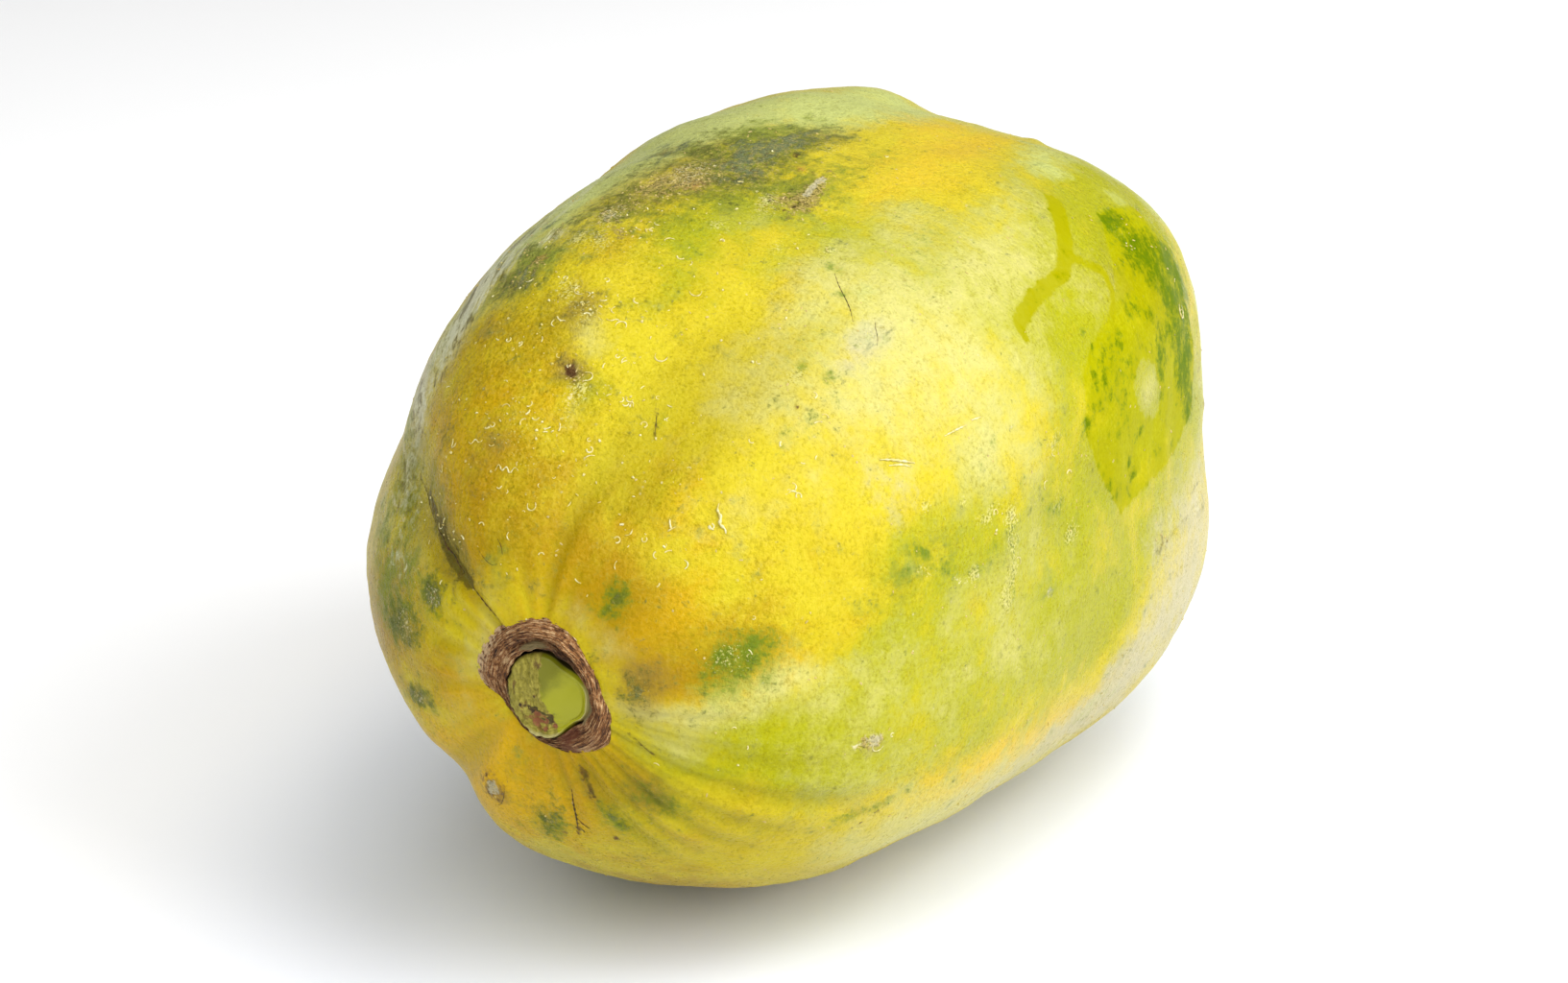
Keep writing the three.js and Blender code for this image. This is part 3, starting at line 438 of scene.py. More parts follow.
# Creases that draw in to the stem: angle round, depth in millimetres, half width in degrees, the angles down
# where each starts and ends, and how far it turns for each degree down.
CREASES = (
    (347, 0.45, 3.6, 7, 24, 0.1), (339, 0.65, 3.4, 7, 40, 0.1), (330, 0.9, 3.4, 7, 44, 0.05),
    (321, 0.75, 3.2, 7, 38, 0), (312, 0.85, 3.2, 7, 34, 0), (303, 0.65, 3.0, 7, 30, 0),
    (294, 0.8, 3.2, 7, 30, 0), (285, 0.55, 3, 7, 20, 0), (275, 0.6, 3.4, 7, 19, 0),
    (334.5, 0.35, 1.6, 8, 26, 0.08), (325.5, 0.35, 1.6, 8, 24, 0), (316.5, 0.35, 1.5, 8, 24, 0),
    (343, 0.35, 1.6, 8, 28, 0.1), (307.5, 0.3, 1.5, 8, 20, 0), (352, 0.3, 2.0, 8, 26, 0.15),
    (298, 0.3, 1.5, 8, 17, 0), (289.5, 0.3, 1.5, 8, 16, 0), (264, 0.35, 4, 7, 18, 0),
    (253, 0.3, 5, 7, 17, 0), (241, 0.4, 5, 7, 17, 0), (224, 0.9, 7, 8, 28, 0), (210, 0.4, 5, 7, 17, 0),
    (200, 0.35, 4, 7, 17, 0), (190, 0.5, 4, 7, 22, 0), (180, 0.35, 4, 7, 17, 0),
    (169, 0.5, 4.5, 7, 21, 0), (158, 0.35, 4, 7, 19, 0), (148, 0.4, 4, 7, 18, 0),
    (135, 1.1, 4, 6, 20, 0.35), (139, 1.5, 9, 14, 44, 0.45), (122, 0.25, 5, 7, 14, 0),
    (104, 0.35, 4, 7, 18, 0.1), (91, 0.9, 4.5, 7, 26, -0.5), (80, 0.3, 4, 7, 18, -0.3),
    (75, 0.2, 4, 7, 16, 0), (50, 0.25, 6, 7, 17, 0), (26, 0.2, 7, 7, 17, 0), (356, -0.7, 6, 9, 30, 0.25),
    (75, 0.9, 13, 18, 55, -0.35),
)
# Small swellings and pits: down and round in degrees, rise and spread in millimetres.
WARTS = (
    (133.5, 68, 0.9, 2.2), (31, 98, -0.35, 1.6), (15, 237.5, 0.9, 3.4), (15, 238.6, -0.7, 1.3),
    (9.5, 290, -0.4, 1.1), (33, 345.5, 0.3, 1.2), (41.3, 59.3, -0.3, 1.2), (42.2, 54.6, -0.3, 1.2),
    (53.4, 62.9, -0.25, 1.1), (57.1, 66.1, -0.25, 1.1), (37, 55, -0.25, 0.8), (139.5, 5.5, 0.4, 1.6),
)
# Latex strands dried on the skin: half width in millimetres, then places along each.
LATEX_STRANDS = (
    (0.32, ((40, 37.8), (41.5, 36.2), (43.8, 33.4))),
    (0.22, ((40.5, 36), (42.2, 34.6), (43, 33.4))),
    (0.22, ((49.5, 34), (52, 33.6), (54, 33.2))),
    (0.2, ((54.8, 33.4), (57, 32.8))),
    (0.36, ((24.6, 52.6), (23.8, 51.4), (23.9, 50), (23.1, 48.6), (23.4, 47.2), (23, 45.6))),
    (0.22, ((22.6, 50.6), (22.2, 49.4), (22.6, 48.4))),
    (0.24, ((20.6, 59.4), (20, 58), (19.8, 56.4))),
    (0.22, ((19.4, 57.6), (20.4, 56.4))),
    (0.17, (
        (21.4, 112.4), (22.2, 111), (21.2, 110.2), (21.8, 108.8), (20.8, 108), (21.6, 106.4), (21, 105.4),
    )),
    (0.15, ((25.4, 119.8), (24.8, 118.8), (25.4, 117.6), (24.6, 116.6), (25, 115.4))),
    (0.12, ((24.4, 114), (23.8, 113.2), (24.2, 112))),
    (0.14, ((29.4, 85.6), (28.6, 84.6), (29, 83.4), (28.2, 82.8))),
    (0.13, ((37.6, 95.6), (37.2, 94.4), (37.8, 93.6))),
    (0.14, ((24.8, 131.6), (24, 130.6), (25, 129.6))),
)
# Latex curls: half width, down, round, radius in millimetres, start angle and sweep in degrees.
LATEX_CURLS = (
    (0.16, 37, 92.4, 1.0, -120, 250), (0.16, 34.5, 83, 1.1, 60, 240), (0.13, 38.8, 94.6, 0.8, 0, 200),
    (0.15, 41, 101.6, 1.2, 20, 210), (0.12, 40.4, 100.2, 0.7, 180, 220), (0.15, 44, 84, 1.1, 90, 230),
    (0.14, 22.2, 87, 1.2, -30, 120), (0.14, 17.6, 100.4, 0.9, 40, 290), (0.15, 30.6, 94.4, 1.0, 150, 260),
    (0.14, 36.6, 103.4, 1.0, 30, 160), (0.12, 34.6, 105.6, 0.8, 200, 150),
    (0.13, 43.4, 112, 0.8, 90, 200), (0.12, 33, 88.6, 0.9, 10, 140), (0.14, 27.6, 110, 0.8, 250, 190),
    (0.12, 26, 124.6, 0.8, 100, 180), (0.14, 51, 93, 0.9, 300, 200), (0.13, 54, 96.6, 0.8, 60, 180),
    (0.12, 48, 88, 0.8, 200, 160), (0.13, 20, 138.4, 0.9, 20, 200), (0.12, 30, 76, 0.8, 120, 120),
    (0.12, 15, 108, 0.8, 0, 180), (0.15, 18.4, 47, 0.8, 220, 200), (0.13, 14.4, 63, 0.9, 40, 150),
    (0.14, 17.4, 67.4, 0.8, 160, 180), (0.2, 124, 27, 1.5, 100, 300), (0.16, 124, 27, 0.5, 0, 200),
    (0.14, 125.4, 31.6, 0.8, 40, 150), (0.12, 60, 70, 0.9, 40, 160), (0.13, 33.6, 344.2, 1.3, 120, 230),
    (0.12, 56.6, 7, 1.0, 300, 200), (0.12, 66, 16.4, 0.9, 20, 240), (0.12, 69.4, 20.6, 0.8, 150, 160),
    (0.13, 12.6, 327, 0.7, 20, 150),
)


# How far outside a strip or outline its distance is still told, in millimetres.
FIELD_REACH = 3.0
# How many millimetres a degree down and a degree round measure on the skin where the wet sheet is.
MM_PER_DEGREE = (1.25, 1.15)
# The blossom scar: the depth of its dimple, and the height and number of the ridges round it.
DIMPLE_DEPTH, RIDGE_HEIGHT, BLOSSOM_RIDGES = 0.9, 0.3, 5
# The socket under the ring: its middle from the stem end, where its edge starts and ends, and its depth.
SOCKET_MIDDLE, SOCKET_EDGE, SOCKET_DEPTH = (0.5, 0, -0.9), (7.6, 8.6), 5.0


def curl(down, around, radius, start, sweep):
    """Places along an arc that lies on the skin round one place."""
    length = np.linalg.norm(skin_point(down + 0.5, around) - skin_point(down - 0.5, around))
    girth = np.linalg.norm(skin_point(down, around + 0.5) - skin_point(down, around - 0.5))
    turn = np.radians(start + sweep * np.linspace(0, 1, 9))
    return tuple(zip(down + radius / length * np.cos(turn), around + radius / girth * np.sin(turn)))


def route(places, step=0.4):
    """Evenly spaced (down, round) places along a list of them."""
    corners = skin_point(*np.array(places, float).T)
    lengths = np.r_[0, np.cumsum(np.linalg.norm(np.diff(corners, axis=0), axis=1))]
    along = np.linspace(0, lengths[-1], max(2, int(lengths[-1] / step)))
    return tuple(np.interp(along, lengths, column) for column in np.array(places, float).T)


def eased_line(line):
    """A line of values with its corners rounded off."""
    return np.convolve(np.pad(line, 2, mode="edge"), np.ones(5) / 5, mode="valid")


def patch_field(points, patches):
    """How strongly each point lies in any of the soft patches, from 0 to 1."""
    clear = np.ones(len(points))
    for down, around, half_long, half_wide, strength, *lean in patches:
        along = skin_point(down + 0.5, around) - skin_point(down - 0.5, around)
        side = skin_point(down, around + 0.5) - skin_point(down, around - 0.5)
        along, side = along / np.linalg.norm(along), side / np.linalg.norm(side)
        offset = points - skin_point(down, around)
        ahead, aside = offset @ along, offset @ side
        under = offset @ np.cross(along, side)
        turn = math.radians(lean[0] if lean else 0)
        u = ahead * math.cos(turn) + aside * math.sin(turn)
        v = aside * math.cos(turn) - ahead * math.sin(turn)
        depth = max(half_long, half_wide) * 1.2 + 2
        far = (u / half_long) ** 2 + (v / half_wide) ** 2 + (under / depth) ** 2
        clear *= 1 - strength * np.exp(-far)
    return 1 - clear


def strip_field(points, strips):
    """Millimetres inside the nearest strip's edge: above 0 inside it, and cut off some way outside."""
    inside = np.full(len(points), -FIELD_REACH)
    for half_width, places in strips:
        line = skin_point(*route(places))
        from_middle = np.linalg.norm(points - line.mean(axis=0), axis=1)
        near = np.flatnonzero(from_middle < np.ptp(line, axis=0).max() + 2 * FIELD_REACH)
        gaps = np.linalg.norm(points[near, None, :] - line[None, :, :], axis=2).min(axis=1)
        inside[near] = np.maximum(inside[near], half_width - gaps)
    return inside


def outline_field(down, around, outline):
    """Millimetres inside a closed outline of (down, round) places, below 0 outside it."""
    scale = np.array(MM_PER_DEGREE)
    spots = np.stack([down, turn_between(0, around)], -1) * scale
    corners = np.array(outline, float) * scale
    distance = np.full(len(spots), np.inf)
    inside = np.zeros(len(spots), bool)
    for start, end in zip(corners, np.roll(corners, -1, axis=0)):
        side = end - start
        share = np.clip((spots - start) @ side / (side @ side), 0, 1)
        distance = np.minimum(distance, np.linalg.norm(spots - start - share[:, None] * side, axis=1))
        crosses = (start[1] > spots[:, 1]) != (end[1] > spots[:, 1])
        slope = side[0] / side[1] if side[1] else 0
        inside ^= crosses & (spots[:, 0] < start[0] + (spots[:, 1] - start[1]) * slope)
    return np.where(inside, distance, -distance)


def crease_lift(down, around):
    """The fine creases round the stem, as a lift of the skin in millimetres."""
    lift = np.zeros_like(down)
    for angle, depth, half_width, start, end, twist in CREASES:
        middle = angle + twist * (down - start)
        fade = start + 0.35 * (end - start)
        envelope = smooth(start - 2.5, start + 2.5, down) * (1 - smooth(fade, end, down))
        lift -= depth * bell(turn_between(middle, around), half_width) * envelope
    return lift


def relief(down, around, undulation):
    """How far the real skin stands off its plain shape, in millimetres."""
    plain = skin_point(down, around)
    lift = crease_lift(down, around)
    away = smooth(9, 20, down)
    lift += undulation * away * (ripples(plain, 34, 1) + 0.35 * ripples(plain, 13, 2))
    lift += 0.05 * away * ripples(plain, 4.5, 5)
    crust, stain = (patch_field(plain, PATCHES[name]) for name in ("crust", "stain"))
    lift += 0.18 * crust * np.abs(ripples(plain, 3.2, 3)) + 0.12 * stain * ripples(plain, 5, 4)
    for at, angle, rise, spread in WARTS:
        lift += rise * bell(np.linalg.norm(plain - skin_point(at, angle), axis=-1), spread)
    tip = 180 - down
    ridges = RIDGE_HEIGHT * np.cos(np.radians(BLOSSOM_RIDGES * around)) * bell(tip - 5, 3)
    lift += ridges - DIMPLE_DEPTH * bell(tip, 2.6)
    reach = np.hypot(*(plain[..., axis] - STEM_END[axis] - SOCKET_MIDDLE[axis] for axis in (0, 2)))
    return lift - SOCKET_DEPTH * (1 - smooth(*SOCKET_EDGE, reach)) * (down < 12)


# ---- Meshes ----


def add_object(name, data):
    """An object at the origin that holds the data, linked to the scene."""
    made = bpy.data.objects.new(name, data)
    bpy.context.scene.collection.objects.link(made)
    return made


def evaluated_mesh(thing):
    """The plain mesh that an object's curve or modifiers make."""
    graph = bpy.context.evaluated_depsgraph_get()
    return bpy.data.meshes.new_from_object(thing.evaluated_get(graph))


def new_piece(name, points, faces, material):
    """A smooth mesh object at the origin, from points in millimetres about the fruit's centre."""
    mesh = bpy.data.meshes.new(name)
    mesh.from_pydata(to_frame(points).tolist(), [], faces)
    mesh.materials.append(material)
    mesh.shade_smooth()
    mesh.update()
    return add_object(name, mesh)


def add_values(piece, values):
    """Stores named values on the piece's points: single numbers, or vectors of three."""
    for name, data in values.items():
        kind = "FLOAT_VECTOR" if data.ndim == 2 else "FLOAT"
        layer = piece.data.attributes.new(name, kind, "POINT")
        layer.data.foreach_set("vector" if data.ndim == 2 else "value", data.astype(np.float32).ravel())


def loop_faces(rows, columns, closed_rows=False):
    """Faces between neighbouring closed loops of points."""
    loops = np.arange(rows if closed_rows else rows - 1)
    row, column = (part.ravel() for part in np.meshgrid(loops, np.arange(columns), indexing="ij"))
    following, beside = (row + 1) % rows, (column + 1) % columns
    corners = ((row, column), (row, beside), (following, beside), (following, column))
    return np.stack([at * columns + across for at, across in corners], -1).tolist()


def cap_faces(pole, ring_start, columns, flip):
    """Triangles from one pole point to a loop of points."""
    faces = []
    for column in range(columns):
        here, beside = ring_start + column, ring_start + (column + 1) % columns
        faces.append((pole, here, beside) if flip else (pole, beside, here))
    return faces


def capped_tube(name, points, poles, columns, material):
    """A closed piece from loops of points, stem side first, with a pole at each end."""
    last_loop = len(points) - columns
    faces = loop_faces(len(points) // columns, columns)
    faces += cap_faces(len(points), 0, columns, False)
    faces += cap_faces(len(points) + 1, last_loop, columns, True)
    piece = new_piece(name, np.concatenate([points, poles]), faces, material)
    straight_way_out(piece)
    return piece


def with_poles(values):
    """Values for a capped tube's points, with the first and last repeated for its poles."""
    return np.concatenate([values, values[:1], values[-1:]])


def corners_of(mesh):
    """A mesh's points, in metres."""
    flat = np.empty(len(mesh.vertices) * 3)
    mesh.vertices.foreach_get("co", flat)
    return flat.reshape(-1, 3)


def straight_way_out(piece):
    """Turns the faces outwards if the closed mesh is inside out."""
    mesh = piece.data
    mesh.calc_loop_triangles()
    triangles = np.empty(len(mesh.loop_triangles) * 3, int)
    mesh.loop_triangles.foreach_get("vertices", triangles)
    corners = corners_of(mesh)
    a, b, c = (corners - corners.mean(axis=0))[triangles.reshape(-1, 3).T]
    if np.einsum("ij,ij->i", a, np.cross(b, c)).sum() < 0:
        mesh.flip_normals()


# ---- Shader maths ----


class Term:
    """One output of a material's node, which grows Math nodes as it is used in sums."""

    def __init__(self, bench, socket):
        self.bench = bench
        self.socket = socket

    def joined(self, operation, first, second):
        return self.bench.node("ShaderNodeMath", {"operation": operation}, {0: first, 1: second})

    def __add__(self, other):
        return self.joined("ADD", self, other)

    def __sub__(self, other):
        return self.joined("SUBTRACT", self, other)

    def __rsub__(self, other):
        return self.joined("SUBTRACT", other, self)

    def __mul__(self, other):
        return self.joined("MULTIPLY", self, other)

    __radd__ = __add__
    __rmul__ = __mul__

    def above(self, low, high):
        """0 below low, 1 above high, and a smooth step between."""
        settings = {"interpolation_type": "SMOOTHSTEP"}
        return self.bench.node("ShaderNodeMapRange", settings, {0: self, 1: low, 2: high})

    def smallest(self, other):
        return self.joined("MINIMUM", self, other)


class Bench:
    """Makes the nodes of one material."""

    def __init__(self, name):
        self.material = bpy.data.materials.new(name)
        self.material.use_nodes = True
        self.tree = self.material.node_tree
        self.tree.nodes.clear()

    def node(self, kind, settings=None, inputs=None, output=0):
        """Adds a node: its settings first, then its inputs. Returns one of its outputs."""
        made = self.tree.nodes.new(kind)
        for name, value in (settings or {}).items():
            if name == "stops":
                self.set_stops(made.color_ramp, value)
            else:
                setattr(made, name, value)
        for key, value in (inputs or {}).items():
            if isinstance(value, Term):
                self.tree.links.new(value.socket, made.inputs[key])
            elif made.inputs[key].type == "RGBA":
                made.inputs[key].default_value = (*value, 1)
            else:
                made.inputs[key].default_value = value
        return Term(self, made.outputs[output])

    @staticmethod
    def set_stops(ramp, stops):
        while len(ramp.elements) < len(stops):
            ramp.elements.new(0.5)
        for element, (place, colour) in zip(ramp.elements, stops):
            element.position = place
            element.color = (*colour, 1)

    def place(self):
        return self.node("ShaderNodeTexCoord", output="Object")

    def value(self, name):
        return self.node("ShaderNodeAttribute", {"attribute_name": name}, output="Fac")

    def vector(self, name):
        return self.node("ShaderNodeAttribute", {"attribute_name": name}, output="Vector")

    def wave(self, where, scale, detail=3.0, roughness=0.55, distortion=0.0):
        """Cloudy noise of about -1 to 1, with so many features to the metre."""
        inputs = {
            "Vector": where, "Scale": scale, "Detail": detail, "Roughness": roughness,
            "Distortion": distortion,
        }
        return (self.node("ShaderNodeTexNoise", None, inputs) - 0.5) * 3.5

    def dots(self, where, scale, size):
        """Round dots at random places: 1 in a dot's middle. size is a share of the space between dots."""
        distance = self.node("ShaderNodeTexVoronoi", None, {"Vector": where, "Scale": scale})
        return 1 - distance.above(size * 0.4, size)

    def mix(self, share, first, second):
        """A blend of two colours."""
        return self.node("ShaderNodeMix", {"data_type": "RGBA"}, {0: share, 6: first, 7: second}, output=2)

    def bump(self, height, strength, distance):
        """The normal of a surface that stands up by height."""
        inputs = {"Strength": strength, "Distance": distance, "Height": height}
        return self.node("ShaderNodeBump", None, inputs)

    def finish(self, shader):
        end = self.tree.nodes.new("ShaderNodeOutputMaterial")
        self.tree.links.new(shader.socket, end.inputs["Surface"])
        return self.material


class Coats:
    """A colour laid on in coats. Each coat covers its share of what is under it."""

    def __init__(self, bench, ground):
        self.bench = bench
        self.colour = ground

    def lay(self, share, paint):
        self.colour = self.bench.mix(share, self.colour, paint)


def principled(bench, colour, roughness, normal=None, specular=0.3, **constants):
    """A Principled shader. What varies is the colour, roughness and normal, and the rest are constants."""
    inputs = {"Base Color": colour, "Roughness": roughness, "Specular IOR Level": specular, **constants}
    if normal is not None:
        inputs["Normal"] = normal
    return bench.node("ShaderNodeBsdfPrincipled", None, inputs, output="BSDF")


# ---- Materials ----


def skin_material(settings):
    """Waxy skin: soft clouds of colour, some of them painted highlight and sheen, then grit, stains, crusts
    and flecks, painted shade in the creases, and a wet sheet over them.
    """
    bench = Bench("waxy_skin")
    value = bench.value
    where, grain = bench.place(), bench.vector("grain")
    # Noise that runs along the fruit, then noise that is the same every way, each from coarse to fine.
    cloud = bench.wave(grain, 0.05, 4, 0.6, 0.5)
    streak = bench.wave(grain, 0.2, 4, 0.65, 0.3)
    smear = bench.wave(grain, 0.7, 4, 0.65, 0.2)
    blotch = bench.wave(where, 75, 5, 0.62, 0.3)
    mottle = bench.wave(where, 230, 5, 0.68)
    ragged = bench.wave(where, 520, 5, 0.7)
    pebbles = bench.wave(where, 700, 3, 0.6)
    crust_grain = bench.wave(where, 1300, 3, 0.7)
    fine = bench.wave(where, 1500, 3, 0.65)
    cells = bench.wave(where, 2300, 2, 0.6)

    drift = cloud * 0.3 + blotch * 0.3 + streak * 0.18 + mottle * 0.14
    coats = Coats(bench, bench.mix((drift + 0.5).above(0.0, 1.0), settings.ripe_pale, settings.ripe))

    def mark(name, edge, low, high, cover=1.0):
        """Lays on the patches of one name, with noise at their edges. Returns how strong they are."""
        strength = (value(name) + edge).above(low, high)
        coats.lay(strength * cover, getattr(settings, name))
        return strength

    # Clouds of colour. Some pale, cream and pale green ones are painted highlight, sheen and rim reflection.
    mark("gold", drift, 0.1, 0.95)
    mark("amber", drift, 0.1, 1.0)
    mark("orange", drift, 0.15, 0.9)
    mark("lime", blotch * 0.4 - cloud * 0.2 + mottle * 0.24, 0.15, 0.85)
    pale_drift = blotch * 0.28 + mottle * 0.26
    # The pale patches: pale bloom, and painted highlight and sheen where they lie in the highlight and on the
    # ridge from the ring.
    mark("pale", pale_drift, 0.15, 0.95)
    mark("cream", pale_drift + ragged * 0.15, 0.2, 0.9)
    mark("mint", pale_drift, 0.2, 0.9)

    # Grit, freckles and specks, which fade out round the stem.
    body = value("body")
    weathered = (value("gold") * 0.5 + value("olive") * 0.4 + blotch * 0.25 + 0.65) * body
    grit = ragged * 0.3 + fine * 0.9
    tint = (mottle * 0.35 + grit * 0.8).above(-0.1, 1.0)
    coats.lay(tint * weathered * 0.28, settings.pale)
    shade = (streak * 0.3 + smear * 0.2 - grit * 0.9 - mottle * 0.2).above(-0.05, 0.9)
    coats.lay(shade * weathered * 0.6, settings.olive)
    freckles = bench.dots(where, 330, 0.2) * (mottle + blotch).above(0.2, 0.7)
    coats.lay(freckles * 0.45, settings.stain)
    speckled = (ragged * 0.6 + mottle * 0.6 + weathered * 0.4 - 0.4).above(0.0, 0.5)
    coats.lay(bench.dots(where, 620, 0.2) * speckled * body * 0.65, settings.white)

    # Stains and crusts.
    mark("olive", blotch * 0.3 + mottle * 0.35 + ragged * 0.2, 0.15, 0.95, 0.8)
    moss = mark("moss", mottle * 0.35 + blotch * 0.3 + smear * 0.25 + fine * 0.12, 0.15, 0.85, 0.8)
    bruise = mark("bruise", mottle * 0.3 + ragged * 0.2 + fine * 0.15, 0.15, 1.05, 0.75)
    green = mark("green", ragged * 0.55 + mottle * 0.4 + fine * 0.35, 0.2, 1.1, 0.85)
    stain = mark("stain", ragged * 0.45 + mottle * 0.4 + fine * 0.4 + smear * 0.3, 0.2, 1.2, 0.75)
    grey = mark("grey", smear * 0.7 + ragged * 0.4 + fine * 0.2, 0.45, 1.1, 0.7)
    chaff = (value("stain") * 0.6 + value("crust") * 0.3 + fine * 0.7 - ragged * 0.3).above(0.45, 1.0)
    coats.lay(chaff * 0.55, settings.crust)
    mark("rust", ragged * 0.6 + fine * 0.5, 0.5, 1.3, 0.6)
    soot = (value("stain") * 0.8 + ragged * 0.55 + fine * 0.4).above(0.85, 1.2)
    coats.lay(soot * 0.75, settings.crust_dark)
    crust = (value("crust") + ragged * 0.45 + crust_grain * 0.3).above(0.45, 0.8)
    crust_tone = (crust_grain + fine * 0.5).above(-0.6, 0.3)
    coats.lay(crust * 0.85, bench.mix(crust_tone, settings.crust_dark, settings.crust))

    # Silver threads with dark gaps, partly painted sheen along the rims, then clusters of light and dark
    # flecks.
    long_grain = bench.node("ShaderNodeMapping", None, {"Vector": grain, "Scale": (1.0, 1.0, 0.4)})
    threads = bench.wave(long_grain, 0.5, 5, 0.7, 0.4)
    silver = value("silver")
    inside = silver.above(0.05, 0.35)
    coats.lay((silver + threads * 0.9 + fine * 0.2).above(0.4, 1.25) * inside * 0.85, settings.silver)
    gaps = (silver * 0.8 - threads * 1.1 - ragged * 0.3).above(0.55, 1.1)
    coats.lay(gaps * inside * 0.75, settings.crust_dark)
    fleck = value("fleck")
    cluster = fleck.above(0.1, 0.4)
    coats.lay((fleck - cells * 0.9 + ragged * 0.3).above(0.75, 1.3) * cluster * 0.6, settings.stain)
    light = (fleck + cells * 0.9 + ragged * 0.3).above(0.65, 1.1) * cluster
    coats.lay(light * 0.85, bench.mix(stain, settings.pale, settings.white))

    # Spots, dark strips, whitish flecks, and painted shade in the hollows of the creases.
    mark("brown", ragged * 0.5 + fine * 0.3, 0.4, 0.9, 0.9)
    # The widest dark strip, in the deep crease near the stem, is partly painted crease shadow.
    strip = (value("strip") + ragged * 0.5 + fine * 0.25).above(-0.1, 0.4)
    strip_tone = (fine * 0.5 + ragged * 0.5).above(-0.4, 0.6)
    coats.lay(strip * 0.92, bench.mix(strip_tone, settings.soot, settings.brown))
    mark("white", ragged * 0.4 + fine * 0.45, 0.5, 0.95, 0.8)
    # Painted shade: olive laid into the crease hollows, fuller the deeper the crease.
    coats.lay((value("crease") + smear * 0.15).above(0.1, 0.9) * 0.32, settings.olive)
    rough_tone = (grit + mottle * 0.15) * (weathered - 0.3) * 0.32
    drawn = (1 - body) * (smear * 0.1 + fine * 0.14)
    tone = rough_tone + drawn + crust_grain * (stain + crust).smallest(1) * 0.16 + 1.0
    colour = bench.node("ShaderNodeVectorMath", {"operation": "SCALE"}, {0: coats.colour, "Scale": tone})

    # Dry wax, rougher where it is scuffed.
    scuffs = (crust + stain * 0.5 + grey * 0.4 + moss * 0.25 + bruise * 0.2).smallest(1)
    stands = (pebbles * 0.3 + fine * 0.24) * weathered + (ragged + crust_grain + smear * 0.5) * scuffs
    dull = fine * 0.1 - pebbles * 0.06 + mottle * 0.05 + scuffs * 0.3 + 0.32
    dry = principled(bench, colour, dull, bench.bump(stands, 0.85, 0.0005), specular=0.09)

    # The wet sheet: a greener film with dark pores, wettest in its runs.
    wet = (value("wet") + blotch * 0.7 + mottle * 0.9 + ragged * 0.5).above(-0.5, 0.4)
    run = (value("run") + mottle * 0.6 + ragged * 0.5).above(-0.2, 0.25)
    soaked = Coats(bench, colour)
    soaked.lay((mottle * 0.3 + blotch * 0.35 + run * 0.32 + 0.44).above(0, 1), settings.wet)
    soaked.lay(green * 0.8, settings.deep_green)
    pores = bench.dots(where, 260, 0.27) * (blotch + mottle * 0.5).above(-0.1, 0.5)
    depths = (mottle + ragged * 0.4).above(0.2, 1.0)
    soaked.lay((pores * 0.34 + depths * 0.4).smallest(1), settings.deep_green)
    calm = bench.bump(pebbles * 0.12 + wet * 0.5, 0.3, 0.0003)
    film = principled(bench, soaked.colour, 0.25, calm, specular=0.03, IOR=1.15)
    return bench.finish(bench.node("ShaderNodeMixShader", None, {0: wet, 1: dry, 2: film}))


def scar_material(settings):
    """Dry cork: concentric fibres in pinkish brown, darker in the cracks, painted shade in its low places, a
    painted shadow inside its upper right, and pale at the frayed edge.
    """
    bench = Bench("corky_scar")
    value = bench.value
    where, along = bench.place(), bench.vector("fibre")
    fibres = bench.wave(along, 1.0, 5, 0.75, 0.4)
    threads = bench.wave(along, 2.6, 3, 0.6)
    grain = bench.wave(where, 2200, 3, 0.7)
    blotch = bench.wave(where, 420, 3, 0.6)
    tone = fibres * 0.55 + threads * 0.4 + grain * 0.25 + blotch * 0.2 + 0.5
    paints = (settings.crack, settings.cork_dark, settings.cork, settings.cork_pale)
    stops = tuple(zip((0.05, 0.34, 0.56, 0.9), paints))
    coats = Coats(bench, bench.node("ShaderNodeValToRGB", {"stops": stops}, {"Fac": tone}))
    fringe = (value("edge") + grain * 0.4 + fibres * 0.4 + threads * 0.3).above(0.35, 1.0)
    coats.lay(fringe * 0.85, settings.straw)
    coats.lay((value("peel") + grain * 0.12 + fibres * 0.12).above(0.4, 0.75) * 0.9, settings.peel)
    coats.lay((value("red") + fibres * 0.2).above(0.3, 0.9) * 0.7, settings.red_cork)
    # Painted shade: the lower the ring's surface lies, down its inner wall and in its groove, the darker it
    # is painted.
    low = 1 - (value("height") + grain * 0.1).above(0.0, 0.55)
    coats.lay(low * 0.85, settings.crack)
    # Painted shadow inside the ring at the upper right, in the gap by the stub.
    coats.lay((value("shadow") + fibres * 0.3).above(0.2, 1.1) * 0.75, settings.crack)
    return bench.finish(principled(bench, coats.colour, grain * 0.1 + 0.65, bench.bump(tone, 0.9, 0.0005)))


